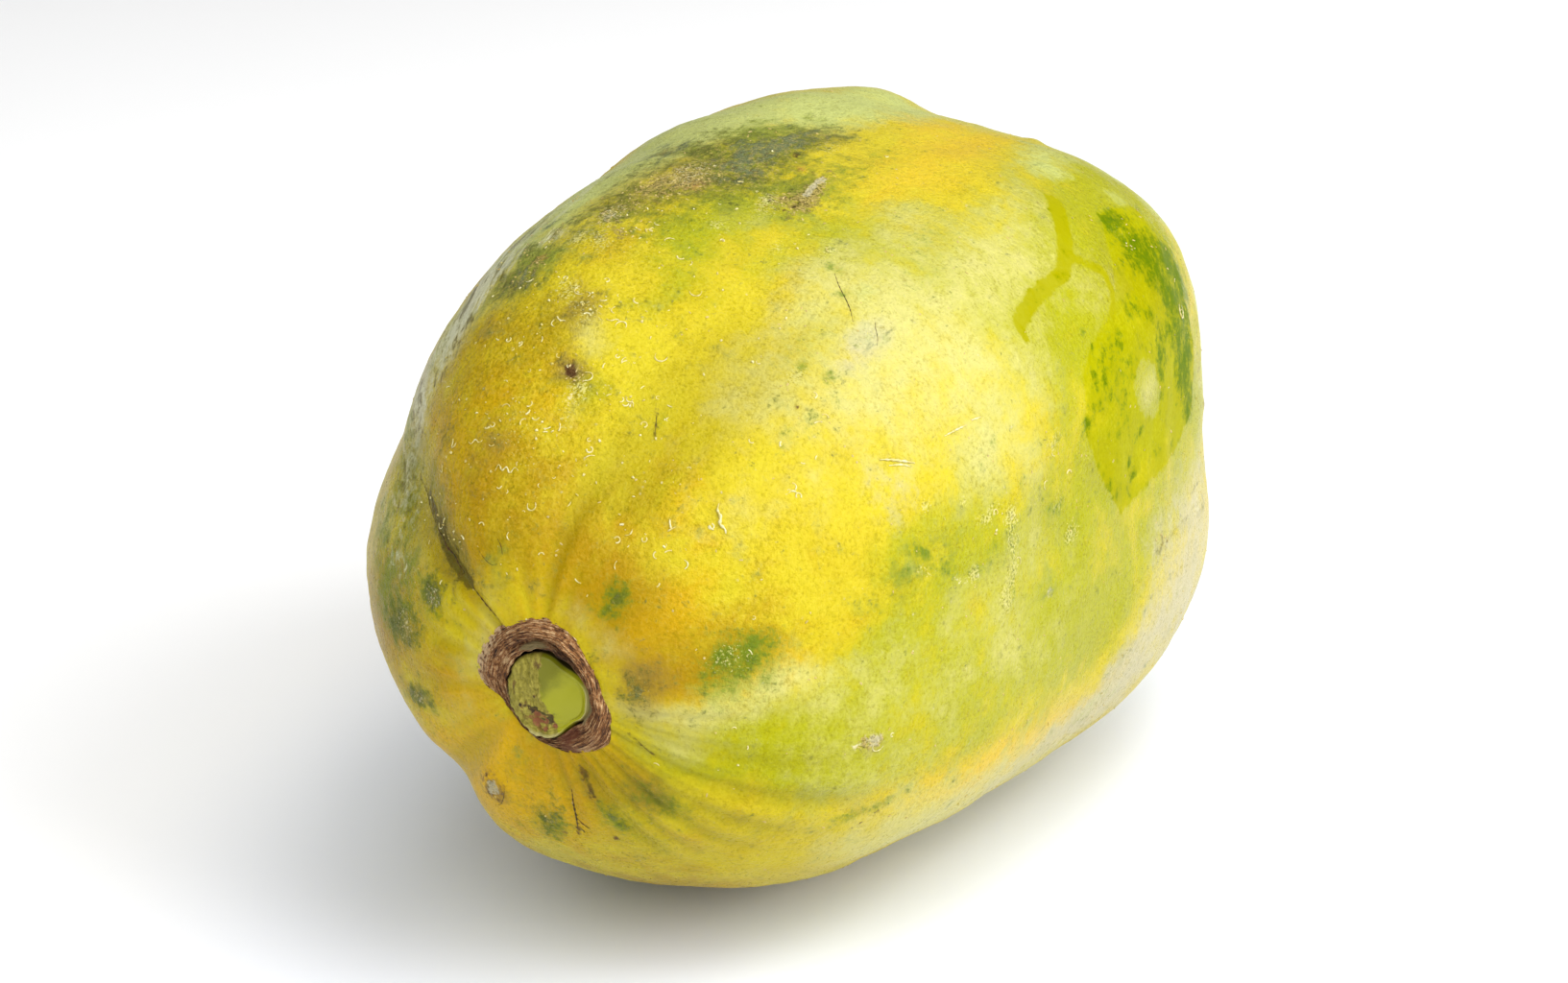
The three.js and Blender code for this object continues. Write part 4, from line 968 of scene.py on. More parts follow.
def stub_material(settings):
    """The cut stem: fresh smooth green on one side, mottled and dried on the other."""
    bench = Bench("green_stem")
    value = bench.value
    where = bench.place()
    mottle = bench.wave(where, 420, 4, 0.7)
    grain = bench.wave(where, 1700, 4, 0.7)
    strings = bench.wave(bench.vector("string"), 1.0, 5, 0.75, 0.5)
    fresh_tone = (value("light") + mottle * 0.25).above(0.1, 0.9)
    fresh = bench.mix(fresh_tone, settings.stub_green, settings.stub_lime)
    old_tone = (strings * 0.6 + mottle * 0.3 + 0.5).above(0.1, 0.9)
    old = Coats(bench, bench.mix(old_tone, settings.stub_olive, settings.stub_straw))
    fray = (strings * -0.8 + mottle * 0.4 + value("specks") * 0.7).above(0.3, 1.0)
    old.lay(fray * 0.75, settings.cork_dark)
    dried = (value("rough") + mottle * 0.35 + grain * 0.1).above(0.3, 0.75)
    coats = Coats(bench, bench.mix(dried, fresh, old.colour))
    coats.lay((value("pit") + grain * 0.3).above(0.3, 0.8) * 0.9, settings.stub_pit)
    coats.lay((value("pit_rim") + strings * 0.3 + grain * 0.2).above(0.45, 0.9) * 0.85, settings.crack)
    coats.lay((value("lip") + grain * 0.15).above(0.25, 0.7) * 0.85, settings.stub_pale)
    # Dark specks, and painted shade in the groove beside the pale crescent.
    specks = (value("specks") * 0.8 + strings * 0.3 + grain * 0.5).above(0.6, 1.1)
    coats.lay(specks * 0.9, settings.crack)
    # Painted shade: the stub's sides and the rounded edge of its face, down in the gap to the ring, are
    # painted nearly black.
    coats.lay(value("wall").above(0.1, 0.7) * 0.85, settings.crack)
    bump = bench.bump(mottle * 0.1 + (strings * 0.4 + grain * 0.25) * dried, 0.6, 0.0003)
    return bench.finish(principled(bench, coats.colour, dried * 0.3 + 0.4, bump))


def clouded_material(name, noise, edges, colours, roughness, specular):
    """A finish of two colours in clouds. noise is its scale, detail and roughness."""
    bench = Bench(name)
    tone = bench.wave(bench.place(), *noise)
    colour = bench.mix(tone.above(*edges), *colours)
    middle, spread = roughness
    return bench.finish(principled(bench, colour, tone * spread + middle, specular=specular))


def latex_material(settings):
    """Dried latex: cream, half clear and shiny."""
    colours = (settings.latex, settings.latex_shade)
    return clouded_material("dried_latex", (900, 2, 0.5), (-0.525, 0.525), colours, (0.28, 0.057), 0.6)


def crack_material(settings):
    """Fine cracks: dark brown and dull."""
    colours = (settings.soot, settings.brown)
    return clouded_material("dark_cracks", (800, 2, 0.5), (-0.6, 0.8), colours, (0.6, 0.1), 0.2)


def flake_material(settings):
    """Dry flakes that stand on the crusts: bone and tan."""
    colours = (settings.crust, settings.flake)
    return clouded_material("crust_flakes", (500, 3, 0.7), (-0.35, 0.35), colours, (0.7, 0.057), 0.3)


# The fruit's glow on the floor, in metres from its middle.
GLOW_HALF_WIDTH, GLOW_HALF_LENGTH = 0.066, 0.108


def paper_material(settings):
    """The studio's plain white floor, a little cooler round the fruit to cancel its yellow glow."""
    bench = Bench("studio_floor")
    shrink = (1 / GLOW_HALF_WIDTH, 1 / GLOW_HALF_LENGTH, 0)
    away = bench.node("ShaderNodeVectorMath", {"operation": "MULTIPLY"}, {0: bench.place(), 1: shrink})
    reach = bench.node("ShaderNodeVectorMath", {"operation": "LENGTH"}, {0: away}, output="Value")
    colour = bench.mix(1 - reach.above(0.9, 1.9), settings.floor, settings.floor_near)
    return bench.finish(principled(bench, colour, 0.85, specular=0.1))


# ---- Geometry Nodes ----


class Scatter:
    """Builds a Geometry Nodes tree with named inputs."""

    def __init__(self, name):
        self.tree = bpy.data.node_groups.new(name, "GeometryNodeTree")
        self.tree.is_modifier = True
        self.tree.interface.new_socket("Geometry", in_out="INPUT", socket_type="NodeSocketGeometry")
        self.tree.interface.new_socket("Geometry", in_out="OUTPUT", socket_type="NodeSocketGeometry")
        self.source = self.tree.nodes.new("NodeGroupInput")
        self.values = {}

    def input(self, name, kind, value):
        """Adds a named input to the tree and returns its socket."""
        item = self.tree.interface.new_socket(name, in_out="INPUT", socket_type=kind)
        self.values[item.identifier] = value
        return self.source.outputs[name]

    def node(self, kind, settings=None, inputs=None, output=0):
        """Adds a node: its settings first, then its inputs. Returns one of its outputs."""
        made = self.tree.nodes.new(kind)
        for name, value in (settings or {}).items():
            setattr(made, name, value)
        for key, value in (inputs or {}).items():
            if isinstance(value, bpy.types.NodeSocket):
                self.tree.links.new(value, made.inputs[key])
            else:
                made.inputs[key].default_value = value
        return made.outputs[output]

    def random(self, low, high, seed):
        """Random numbers, or vectors, between two limits."""
        if isinstance(low, tuple):
            inputs = {0: low, 1: high, "Seed": seed}
            return self.node("FunctionNodeRandomValue", {"data_type": "FLOAT_VECTOR"}, inputs)
        inputs = {2: low, 3: high, "Seed": seed}
        return self.node("FunctionNodeRandomValue", {"data_type": "FLOAT"}, inputs, output=1)

    def turned(self, turn, angles):
        """A rotation with another one, given as angles, added in its own frame."""
        added = self.node("FunctionNodeEulerToRotation", None, {0: angles})
        return self.node("FunctionNodeRotateRotation", {"rotation_space": "LOCAL"}, {0: turn, 1: added})

    def times(self, first, second):
        return self.node("ShaderNodeMath", {"operation": "MULTIPLY"}, {0: first, 1: second})

    def sprinkle(self, share_name, density, seed, spacing):
        """Random points on the base, kept apart, with the way the base faces at each."""
        share = self.node("GeometryNodeInputNamedAttribute", {"data_type": "FLOAT"}, {"Name": share_name})
        inputs = {
            "Mesh": self.source.outputs["Geometry"], "Distance Min": spacing, "Density Max": density,
            "Density Factor": share, "Seed": seed,
        }
        points = self.node("GeometryNodeDistributePointsOnFaces", {"distribute_method": "POISSON"}, inputs)
        return points, points.node.outputs["Rotation"]

    def finish(self, points, shape, turn, size, material, pick=False):
        """Puts the shape, or one picked from several, at every point, and ends the tree."""
        inputs = {
            "Points": points, "Instance": shape, "Pick Instance": pick, "Rotation": turn, "Scale": size,
        }
        copies = self.node("GeometryNodeInstanceOnPoints", None, inputs)
        realised = self.node("GeometryNodeRealizeInstances", None, {"Geometry": copies})
        coloured = self.node("GeometryNodeSetMaterial", None, {"Geometry": realised, "Material": material})
        end = self.tree.nodes.new("NodeGroupOutput")
        self.tree.links.new(coloured, end.inputs["Geometry"])

    def grown_on(self, base, name):
        """Runs the tree on a copy of base and returns the result as a plain piece."""
        carrier = add_object(name, base.data)
        modifier = carrier.modifiers.new("grow", "NODES")
        modifier.node_group = self.tree
        for identifier, value in self.values.items():
            modifier[identifier] = value
        mesh = evaluated_mesh(carrier)
        carrier.modifiers.remove(modifier)
        carrier.data = mesh
        if not len(mesh.polygons):
            raise RuntimeError(f"{name} grew nothing")
        return carrier


# ---- What a user may change ----


def colour_property(name, red, green, blue):
    description = f"Colour of the {name.lower()}"
    default = srgb(red, green, blue)
    return FloatVectorProperty(
        name=name, description=description, subtype="COLOR", size=3, min=0, max=1, default=default
    )


def power_property(name, watts):
    description = f"Power of the {name.lower()} in watts"
    return FloatProperty(name=name, description=description, default=watts, min=0)


class PapayaSkin(PropertyGroup):
    """Sizes and colours of the skin."""

    columns: IntProperty(name="Columns", description="Points round the skin", default=520, min=60, max=560)
    rows: IntProperty(name="Rows", description="Points from stem to blossom", default=188, min=40, max=200)
    undulation: FloatProperty(
        name="Undulation", description="Height of the hand-sized waves", default=0.35, min=0, max=2
    )
    ripe: colour_property("Ripe skin", 177, 155, 8)
    ripe_pale: colour_property("Pale ripe skin", 184, 170, 30)
    gold: colour_property("Gold clouds", 156, 122, 2)
    amber: colour_property("Amber clouds", 194, 154, 0)
    orange: colour_property("Orange clouds", 194, 164, 26)
    lime: colour_property("Lime clouds", 148, 148, 4)
    # Also the colour of the painted highlight and sheen.
    pale: colour_property("Pale clouds", 184, 178, 104)
    cream: colour_property("Cream clouds", 176, 168, 128)
    mint: colour_property("Pale green clouds", 170, 176, 100)
    olive: colour_property("Olive shade", 126, 118, 4)
    green: colour_property("Green marks", 86, 108, 8)
    deep_green: colour_property("Deep green under the wet sheet", 70, 96, 2)
    stain: colour_property("Dark stains", 84, 86, 32)
    moss: colour_property("Moss green stains", 116, 128, 34)
    bruise: colour_property("Brown bruises", 122, 98, 44)
    grey: colour_property("Grey stains", 116, 126, 92)
    crust: colour_property("Crust", 176, 156, 86)
    crust_dark: colour_property("Dark crust", 72, 64, 22)
    flake: colour_property("Flakes", 176, 158, 104)
    brown: colour_property("Brown spots", 74, 40, 20)
    soot: colour_property("Dark cracks", 46, 46, 20)
    white: colour_property("Whitish flecks", 196, 188, 150)
    # Whitish streaks, partly painted sheen at the rims.
    silver: colour_property("Silver streaks", 192, 192, 160)
    rust: colour_property("Rust flecks", 180, 124, 60)
    wet: colour_property("Wet skin", 142, 138, 0)


class PapayaScar(PropertyGroup):
    """Colours of the stem scar and the stub."""

    cork: colour_property("Cork", 156, 106, 60)
    cork_dark: colour_property("Dark cork", 98, 60, 32)
    cork_pale: colour_property("Pale cork", 212, 180, 134)
    straw: colour_property("Frayed straw edge", 226, 196, 152)
    red_cork: colour_property("Red cork", 104, 48, 30)
    # The dark of the cracks, also laid as painted shade and shadow in the scar's low places and round the
    # stub.
    crack: colour_property("Cracks", 34, 20, 8)
    peel: colour_property("Peeled layer", 132, 118, 78)
    stub_green: colour_property("Stub's fresh side", 104, 104, 4)
    stub_lime: colour_property("Stub's light side", 142, 142, 16)
    stub_olive: colour_property("Stub's dried side", 110, 102, 24)
    stub_straw: colour_property("Stub's straw", 156, 146, 60)
    stub_pale: colour_property("Stub's pale lip", 164, 156, 100)
    stub_pit: colour_property("Stub's dried pit", 126, 70, 48)


class PapayaLatex(PropertyGroup):
    """Dried latex and crust flakes on the skin."""

    beads: FloatProperty(
        name="Bead density", description="Latex beads to the square metre", default=600000, min=0
    )
    flakes: FloatProperty(
        name="Flake density", description="Crust flakes to the square metre", default=900000, min=0
    )
    bead_size: FloatProperty(
        name="Bead size", description="Radius of one latex bead", unit="LENGTH",
        default=0.0003, min=0.0001, max=0.003,
    )
    seed: IntProperty(name="Seed", description="Which random layout is used", default=7, min=0)
    latex: colour_property("Latex", 206, 200, 150)
    latex_shade: colour_property("Latex in shade", 186, 170, 84)


class PapayaStudio(PropertyGroup):
    """Floor, lights and camera."""

    floor: colour_property("Floor", 240, 240, 240)
    floor_near: colour_property("Floor round the fruit", 230, 234, 244)
    azimuth: FloatProperty(
        name="Azimuth", description="Camera's angle round the fruit from the stem end", subtype="ANGLE",
        default=math.radians(24.7),
    )
    elevation: FloatProperty(
        name="Elevation", description="Camera's angle above the floor", subtype="ANGLE",
        default=math.radians(19.7),
    )
    distance: FloatProperty(
        name="Distance", description="Camera to the fruit's centre", unit="LENGTH", default=0.7, min=0.2
    )
    lens: FloatProperty(
        name="Lens", description="Focal length in millimetres", default=86.4, min=10, max=300
    )
    key: power_property("High key light", 8.0)
    front: power_property("Big front light", 25.0)
    side: power_property("Big side light", 33.0)
    back: power_property("Back light", 7.0)
    fill: FloatProperty(
        name="Surroundings", description="Strength of the white surroundings", default=0.27, min=0
    )


# ---- Operators ----


# Angles down of the skin's first and last loops, and how much closer the loops lie at the stem.
FIRST_DOWN, LAST_DOWN, BUNCHING = 3.0, 179.4, 0.38
# How far the middle point at each end stands off the plain skin, in millimetres.
STEM_POLE_LIFT, BLOSSOM_POLE_LIFT = -7.0, -0.9
# The depth in millimetres at which a crease is shaded fully.
FULL_CREASE = 0.8
# The grain's millimetres round the waist, and its stretch for each degree down.
GRAIN_GIRTH, GRAIN_STRETCH = 60, 0.45


def soft_floor(height, blend=1.0):
    """Flattens what lies below 0, with a short smooth run out."""
    eased = (height + blend) ** 2 / (4 * blend)
    return np.where(height > blend, height, np.where(height < -blend, 0, eased))


class PAPAYA_OT_skin(Operator):
    """Makes the fruit's skin, with its creases, waves, warts, crusts and blossom scar as real shape"""

    bl_idname = "papaya.skin"
    bl_label = "Skin"

    def execute(self, context):
        settings = context.scene.papaya_skin
        rows, columns = settings.rows, settings.columns
        share = np.linspace(0, 1, rows)
        downs = FIRST_DOWN + (LAST_DOWN - FIRST_DOWN) * ((1 - BUNCHING) * share + BUNCHING * share**2)
        turns = np.arange(columns) * 360 / columns
        down, around = (part.ravel() for part in np.meshgrid(downs, turns, indexing="ij"))
        points = skin_point(down, around, relief(down, around, settings.undulation))
        rest = -CENTRE[2]
        points[:, 2] = rest + soft_floor(points[:, 2] - rest)
        poles = [skin_point(0, 0, STEM_POLE_LIFT), skin_point(180, 0, BLOSSOM_POLE_LIFT)]
        piece = capped_tube("fruit_skin", points, poles, columns, skin_material(settings))
        fields = self.fields(down, around)
        add_values(piece, {name: with_poles(values) for name, values in fields.items()})
        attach(piece, "root")
        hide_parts("fruit")
        return {"FINISHED"}

    @staticmethod
    def fields(down, around):
        """What the skin's material reads at each point."""
        plain = skin_point(down, around)
        fields = {name: patch_field(plain, patches) for name, patches in PATCHES.items()}
        island = outline_field(down, around, DRY_ISLAND)
        sheet = np.minimum(outline_field(down, around, WET_OUTLINE), -island)
        fields["run"] = strip_field(plain, WET_RUNS)
        fields["wet"] = np.clip(np.maximum(sheet, fields["run"]), -FIELD_REACH, FIELD_REACH)
        fields["strip"] = strip_field(plain, DARK_STRIPS)
        fields["body"] = 0.4 + 0.6 * smooth(9, 22, down)
        fields["crease"] = np.clip(-crease_lift(down, around) / FULL_CREASE, 0, 1)
        # The grain's coordinates run with the fruit's length and draw together at both ends.
        girth = GRAIN_GIRTH
        for from_end in (down, 180 - down):
            girth = girth * (0.35 + 0.65 * smooth(5, 45, from_end))
        turn = np.radians(around)
        fields["grain"] = np.stack([girth * np.cos(turn), girth * np.sin(turn), down * GRAIN_STRETCH], -1)
        return fields


# The ring round the stem: angle round in degrees, then outer radius, crest height and inner radius in
# millimetres.
RING_SHAPE = (
    (21, 9.6, 1.6, 7.4), (44, 9.9, 1.8, 6.8), (66, 10.8, 1.9, 6.6), (86, 11.4, 2.0, 6.6),
    (104, 11.6, 2.0, 6.6), (123, 11.7, 1.9, 6.3), (138, 12.0, 1.8, 6.3), (156, 12.6, 1.7, 6.4),
    (170, 13.2, 1.6, 6.6), (182, 12.9, 1.3, 6.9), (192, 11.4, 0.9, 7.1), (204, 9.2, 0.5, 7.5),
    (221, 8.8, 0.3, 8.1), (241, 9.5, 0.3, 8.8), (262, 10.4, 0.5, 9.4), (282, 11.8, 1.1, 9.3),
    (300, 12.8, 1.5, 8.3), (314, 13.9, 1.6, 8.2), (323, 14.2, 1.5, 8.8), (340, 12.2, 1.4, 9.0),
    (359, 10.4, 1.5, 8.3),
)
OUTER, CREST, INNER = 1, 2, 3
# The ring's section: its inner wall up to the first share, its top up to the second, then its underside.
WALL_SHARE, TOP_SHARE = 0.1, 0.8
WALL_DEPTH = 3.4
# The spacing of the ring's fibres and of the crackle on its widest pad, in millimetres.
FIBRE_GAP, CRACKLE_GAP = 0.46, 0.8
# The stub's middle from the stem end, its radius and its depth, in millimetres.
STUB_CENTRE, STUB_RADIUS, STUB_DEPTH = (0.7, -1.6), 7.7, 4.2
# The share of the stub's loops that lie on its cut face.
FACE_SHARE = 0.7
# Dark specks on the stub, from its middle: across, up, half width, half height.
STUB_SPECKS = (
    (-1.6, 5.2, 1.0, 1.2), (-2.2, -0.2, 0.5, 0.6), (-4.2, -2.2, 1.5, 0.7), (-2.0, -2.8, 1.6, 0.6),
    (1.0, -3.2, 1.0, 0.6), (0.9, -4.6, 0.4, 0.9), (-3.8, -4.4, 0.8, 0.7), (-5.8, 1.0, 0.5, 1.4),
)


def round_grid(columns, rows):
    """Angles round the stem, and shares of the way across, as grids with a row for each share."""
    return np.meshgrid(np.arange(columns) * 360 / columns, np.linspace(0, 1, rows))


def ring_value(angle, column):
    """One column of the ring's shape at any angle round the stem, on a smooth curve."""
    rows = np.array(RING_SHAPE, float)
    angles, values = rows[:, 0], rows[:, column]
    angles = np.r_[angles[-3:] - 360, angles, angles[:3] + 360]
    values = np.r_[values[-3:], values, values[:3]]
    fine = np.arange(-20, 380, 0.5)
    eased = np.convolve(np.interp(fine, angles, values), np.ones(15) / 15, mode="same")
    return np.interp(angle % 360, fine, eased)


def wander(angle, seed, most):
    """A random line round the stem that closes on itself, of about -1 to 1. most is its number of waves."""
    draw = np.random.default_rng(seed)
    line = np.zeros_like(angle)
    first = max(1, most // 3)
    for turns in range(first, most + 1):
        line += draw.normal() * np.cos(np.radians(angle) * turns + draw.uniform(0, 2 * math.pi))
    return line / math.sqrt(most - first + 1)


def round_the_stem(angle, reach, height):
    """Points round the stem end: angle and reach across the scar, and height out of the skin there."""
    rows = np.linspace(0, 16, 65)
    heights = np.empty(np.broadcast(angle, reach).shape)
    angle, reach = np.broadcast_arrays(angle, reach)
    for column in range(angle.shape[1]):
        line = skin_point(rows, angle[0, column])
        away = np.hypot(line[:, 0] - STEM_END[0], line[:, 2] - STEM_END[2])
        heights[:, column] = np.interp(reach[:, column], away, line[:, 1])
    x = STEM_END[0] + reach * np.cos(np.radians(angle))
    z = STEM_END[2] + reach * np.sin(np.radians(angle))
    return np.stack([x, heights - height, z], -1)


class PAPAYA_OT_scar(Operator):
    """Makes the corky ring of the stem scar, with its pads, fibres and peeled inner layer"""

    bl_idname = "papaya.scar"
    bl_label = "Stem scar"

    def execute(self, context):
        settings = context.scene.papaya_scar
        angle, share = round_grid(columns=540, rows=120)
        outer = ring_value(angle, OUTER) + 0.16 * wander(angle, 11, 14) + 0.07 * wander(angle, 12, 34)
        crest = ring_value(angle, CREST) * (1 + 0.1 * wander(angle, 17, 16))
        inner = ring_value(angle, INNER) + 0.1 * wander(angle, 13, 18)
        # Across the ring: up the inner wall, over the crest, down the outer slope, and back underneath.
        wall, under = share < WALL_SHARE, share > TOP_SHARE
        top = np.clip((share - WALL_SHARE) / (TOP_SHARE - WALL_SHARE), 0, 1)
        reach = inner + (outer - inner) * top
        height = crest * self.section(top, angle) - 0.15 * top
        height += self.fibres(angle, reach, top) * smooth(0.0, 0.06, top) * (1 - smooth(0.96, 1.0, top))
        height -= 0.9 * self.red_hollow(angle, reach)
        foot = height[wall.sum(axis=0)[0]]
        climb = share / WALL_SHARE
        reach = np.where(wall, inner + 0.2 * np.sin(climb * math.pi), reach)
        height = np.where(wall, foot - WALL_DEPTH * (1 - climb), height)
        back = np.clip((share - TOP_SHARE) / (1 - TOP_SHARE), 0, 1)
        reach = np.where(under, outer - (outer - inner) * smooth(0.1, 1, back), reach)
        height = np.where(under, -0.35 - 1.2 * back - 2.4 * smooth(0.5, 1, back), height)
        points = round_the_stem(angle, reach, height).reshape(-1, 3)
        faces = loop_faces(*angle.shape, closed_rows=True)
        piece = new_piece("scar_ring", points, faces, scar_material(settings))
        straight_way_out(piece)
        add_values(piece, self.values(angle, reach, height, top, wall, under))
        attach(piece, "root")
        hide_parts("stem_scar_ring")
        return {"FINISHED"}

    @classmethod
    def values(cls, angle, reach, height, top, wall, under):
        """What the ring's material reads at each point."""

        def near(middle, spread):
            return bell(turn_between(middle, angle), spread)

        turn = np.radians(angle)
        fibre_place = np.stack([3 * np.cos(turn), 3 * np.sin(turn), (0.5 * reach + 2.4 * top) * 3.4], -1)
        ledge = near(102, 26) * bell(top - 0.14, 0.16) + 1.2 * near(340, 20) * bell(top - 0.05, 0.07)
        pad = near(165, 30)
        ticks = 0.55 + 0.45 * wander(angle, 33, 90)
        fringe = smooth(0.6, 0.98, top) * (0.5 + 0.7 * pad) * ticks + 0.4 * pad * smooth(0.25, 0.5, top)
        shadow = near(54, 34) * (1 - smooth(0.2, 0.6, top))
        return {
            # height is also read for the ring's painted shade: its low places are painted dark.
            "height": np.clip((height + 0.9) / 1.6, 0, 1).ravel(),
            "edge": np.where(under, 0.2, fringe).ravel(),
            "shadow": np.where(under, 0, shadow).ravel(),
            "peel": np.where(wall | under, 0, np.clip(ledge, 0, 1)).ravel(),
            "red": np.clip(cls.red_hollow(angle, reach) + 0.7 * near(292, 12), 0, 1).ravel(),
            "fibre": fibre_place.reshape(-1, 3),
        }

    @staticmethod
    def section(top, angle):
        """The ring's height across its width, as a share of the crest: ledge, groove, crest, slope."""
        ledge = 0.6 + 0.12 * bell(top - 0.1, 0.09)
        groove = (0.5 * bell(turn_between(66, angle), 62) + 0.12) * bell(top - 0.3, 0.07)
        return ledge - groove + 0.4 * bell(top - 0.5, 0.22) - 0.62 * smooth(0.62, 1.0, top)

    @staticmethod
    def fibres(angle, reach, top):
        """Fine ridges that run round the ring, crackle on the widest pad, and a frayed outer edge."""
        level = 0.5 * reach + 2.4 * top
        phase = 2 * math.pi * level / FIBRE_GAP + 1.6 * wander(angle, 14, 7) + 0.6 * wander(angle, 15, 25)
        ridges = 0.09 * np.sin(phase) + 0.05 * np.sin(1.7 * phase + 2 * wander(angle, 18, 9))
        pad = bell(turn_between(160, angle), 34)
        crackle = 0.09 * pad * np.sin(2 * math.pi * reach / CRACKLE_GAP + 3 * wander(angle, 19, 50))
        fray = 0.06 * wander(angle, 16, 70) * bell(top - 0.92, 0.16)
        return ridges * (1 - 0.4 * pad) + crackle + fray

    @staticmethod
    def red_hollow(angle, reach):
        """The sunken red-brown place in the lower pad."""
        return bell(turn_between(306, angle), 9) * bell(reach - 9.3, 0.9)


class PAPAYA_OT_stub(Operator):
    """Makes the cut stub of the stem: one smooth green side, one rough dried side and a curled lip"""

    bl_idname = "papaya.stub"
    bl_label = "Stem stub"

    def execute(self, context):
        settings = context.scene.papaya_scar
        angle, share = round_grid(columns=320, rows=130)
        edge = self.outline(angle)
        top = np.clip(share / FACE_SHARE, 0, 1)
        face_reach = edge * top**0.85
        height, values = self.cut_face(angle, face_reach, top)
        # Past the face's edge the stub falls to its foot, and then closes underneath.
        wall = share > FACE_SHARE
        fall = np.clip((share - FACE_SHARE) / (1 - FACE_SHARE), 0, 1)
        sink = np.clip(fall * 1.6, 0, 1)
        height = np.where(wall, height - STUB_DEPTH * sink, height)
        reach = np.where(wall, edge - 0.3 * sink, face_reach)
        reach = np.where(fall > 0.65, edge * (1 - (fall - 0.65) / 0.35 * 0.98) - 0.3, reach)
        x = STEM_END[0] + STUB_CENTRE[0] + reach * np.cos(np.radians(angle))
        z = STEM_END[2] + STUB_CENTRE[1] + reach * np.sin(np.radians(angle))
        loops = np.stack([x, STEM_END[1] - height, z], -1)
        # The first loop lies at the face's middle, where one point stands for it.
        poles = [loops[0].mean(axis=0), loops[-1].mean(axis=0)]
        points, columns = loops[1:].reshape(-1, 3), angle.shape[1]
        piece = capped_tube("stem_stub_cut", points, poles, columns, stub_material(settings))
        for name, (on_face, on_wall) in values.items():
            add_values(piece, {name: with_poles(np.where(wall, on_wall, on_face)[1:].ravel())})
        across, upward = self.flat_place(angle, face_reach)
        strings = (across * 2.0 + upward * 0.3, upward * 0.8 - across * 0.2, np.zeros_like(across))
        add_values(piece, {"string": with_poles(np.stack(strings, -1)[1:].reshape(-1, 3))})
        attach(piece, "root")
        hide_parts("stem_stub")
        return {"FINISHED"}

    @staticmethod
    def flat_place(angle, reach):
        """Across and up from the stub's middle."""
        return reach * np.cos(np.radians(angle)), reach * np.sin(np.radians(angle))

    @classmethod
    def cut_face(cls, angle, reach, top):
        """The cut face's height, and what its material reads there with its value on the wall."""
        across, upward = cls.flat_place(angle, reach)
        flat = np.stack([across, upward, np.zeros_like(across)], -1)
        # The rough side lies left of a line that leans to the right as it comes down.
        border = -1.2 - 0.5 * np.minimum(upward - 0.5, 0)
        border += 0.2 * np.sin(upward * 1.3) + 0.12 * np.sin(upward * 3.7 + 1)
        rough = smooth(-0.35, 0.35, border - across)
        strings = ripples(flat * np.array([1, 0.45, 1]), 1.1, 22)
        height = 1.0 - 0.5 * top**2 - 0.06 * across + 0.1 * (1 - rough) * ripples(flat, 5, 24)
        crumbs = 0.2 * ripples(flat, 2.6, 23) + 0.08 * ripples(flat, 0.7, 26)
        height += rough * (0.15 + 0.16 * strings + crumbs)
        lip_turn = turn_between(262, angle)
        lip = bell(lip_turn, 32) * bell(top - 0.93, 0.08)
        height += 0.85 * lip + 0.12 * bell(lip_turn, 34) * bell(top - 0.85, 0.2) * np.sin(reach * 12)
        warp = 0.35 * ripples(flat, 1.6, 27)
        pit_reach = ((across + 1.3) / 2.6 + warp) ** 2 + ((upward + 4.3) / 1.6 - warp) ** 2
        pit = np.exp(-pit_reach)
        height += pit * (0.3 * np.abs(ripples(flat, 1.3, 25)) - 0.45)
        crescent_turn = turn_between(352, angle)
        crescent = bell(crescent_turn, 34) * smooth(0.86, 0.92, top)
        groove = bell(crescent_turn, 38) * bell(top - 0.84, 0.03)
        height += 0.15 * crescent - 0.35 * groove - 0.7 * smooth(0.9, 1.0, top)
        specks = np.zeros_like(across)
        for x, z, half_wide, half_high in STUB_SPECKS:
            speck = np.exp(-(((across - x) / half_wide) ** 2) - ((upward - z) / half_high) ** 2)
            specks = np.maximum(specks, speck)
        pit_rim = bell(np.sqrt(pit_reach) - 1.05, 0.3) * rough * smooth(-6.2, -3.8, upward + 0.4 * across)
        return height, {
            "rough": (rough, 0.6),
            "pit": (pit, 0),
            "pit_rim": (pit_rim, 0),
            "light": (smooth(-5, 3, across - upward), 0),
            "lip": (np.clip(lip + crescent, 0, 1), 0),
            # specks also takes the groove beside the pale crescent, painted dark as shade.
            "specks": (np.clip(specks + 0.8 * groove, 0, 1), 0),
            # wall is painted shade on the stub's sides and the edge of its face.
            "wall": (smooth(0.93, 1.05, top), 1),
        }

    @staticmethod
    def outline(angle):
        """The stub's radius about its middle: a circle inside the ring, with a gap at the upper right."""
        turn = np.radians(angle)
        edge = STUB_RADIUS - 1.7 * bell(turn_between(58, angle), 36) + 0.08 * wander(angle, 21, 9)
        for _ in range(4):
            x, z = STUB_CENTRE[0] + edge * np.cos(turn), STUB_CENTRE[1] + edge * np.sin(turn)
            room = ring_value(np.degrees(np.arctan2(z, x)), INNER) - 0.12
            edge = edge * np.minimum(1, room / np.hypot(x, z))
        return edge


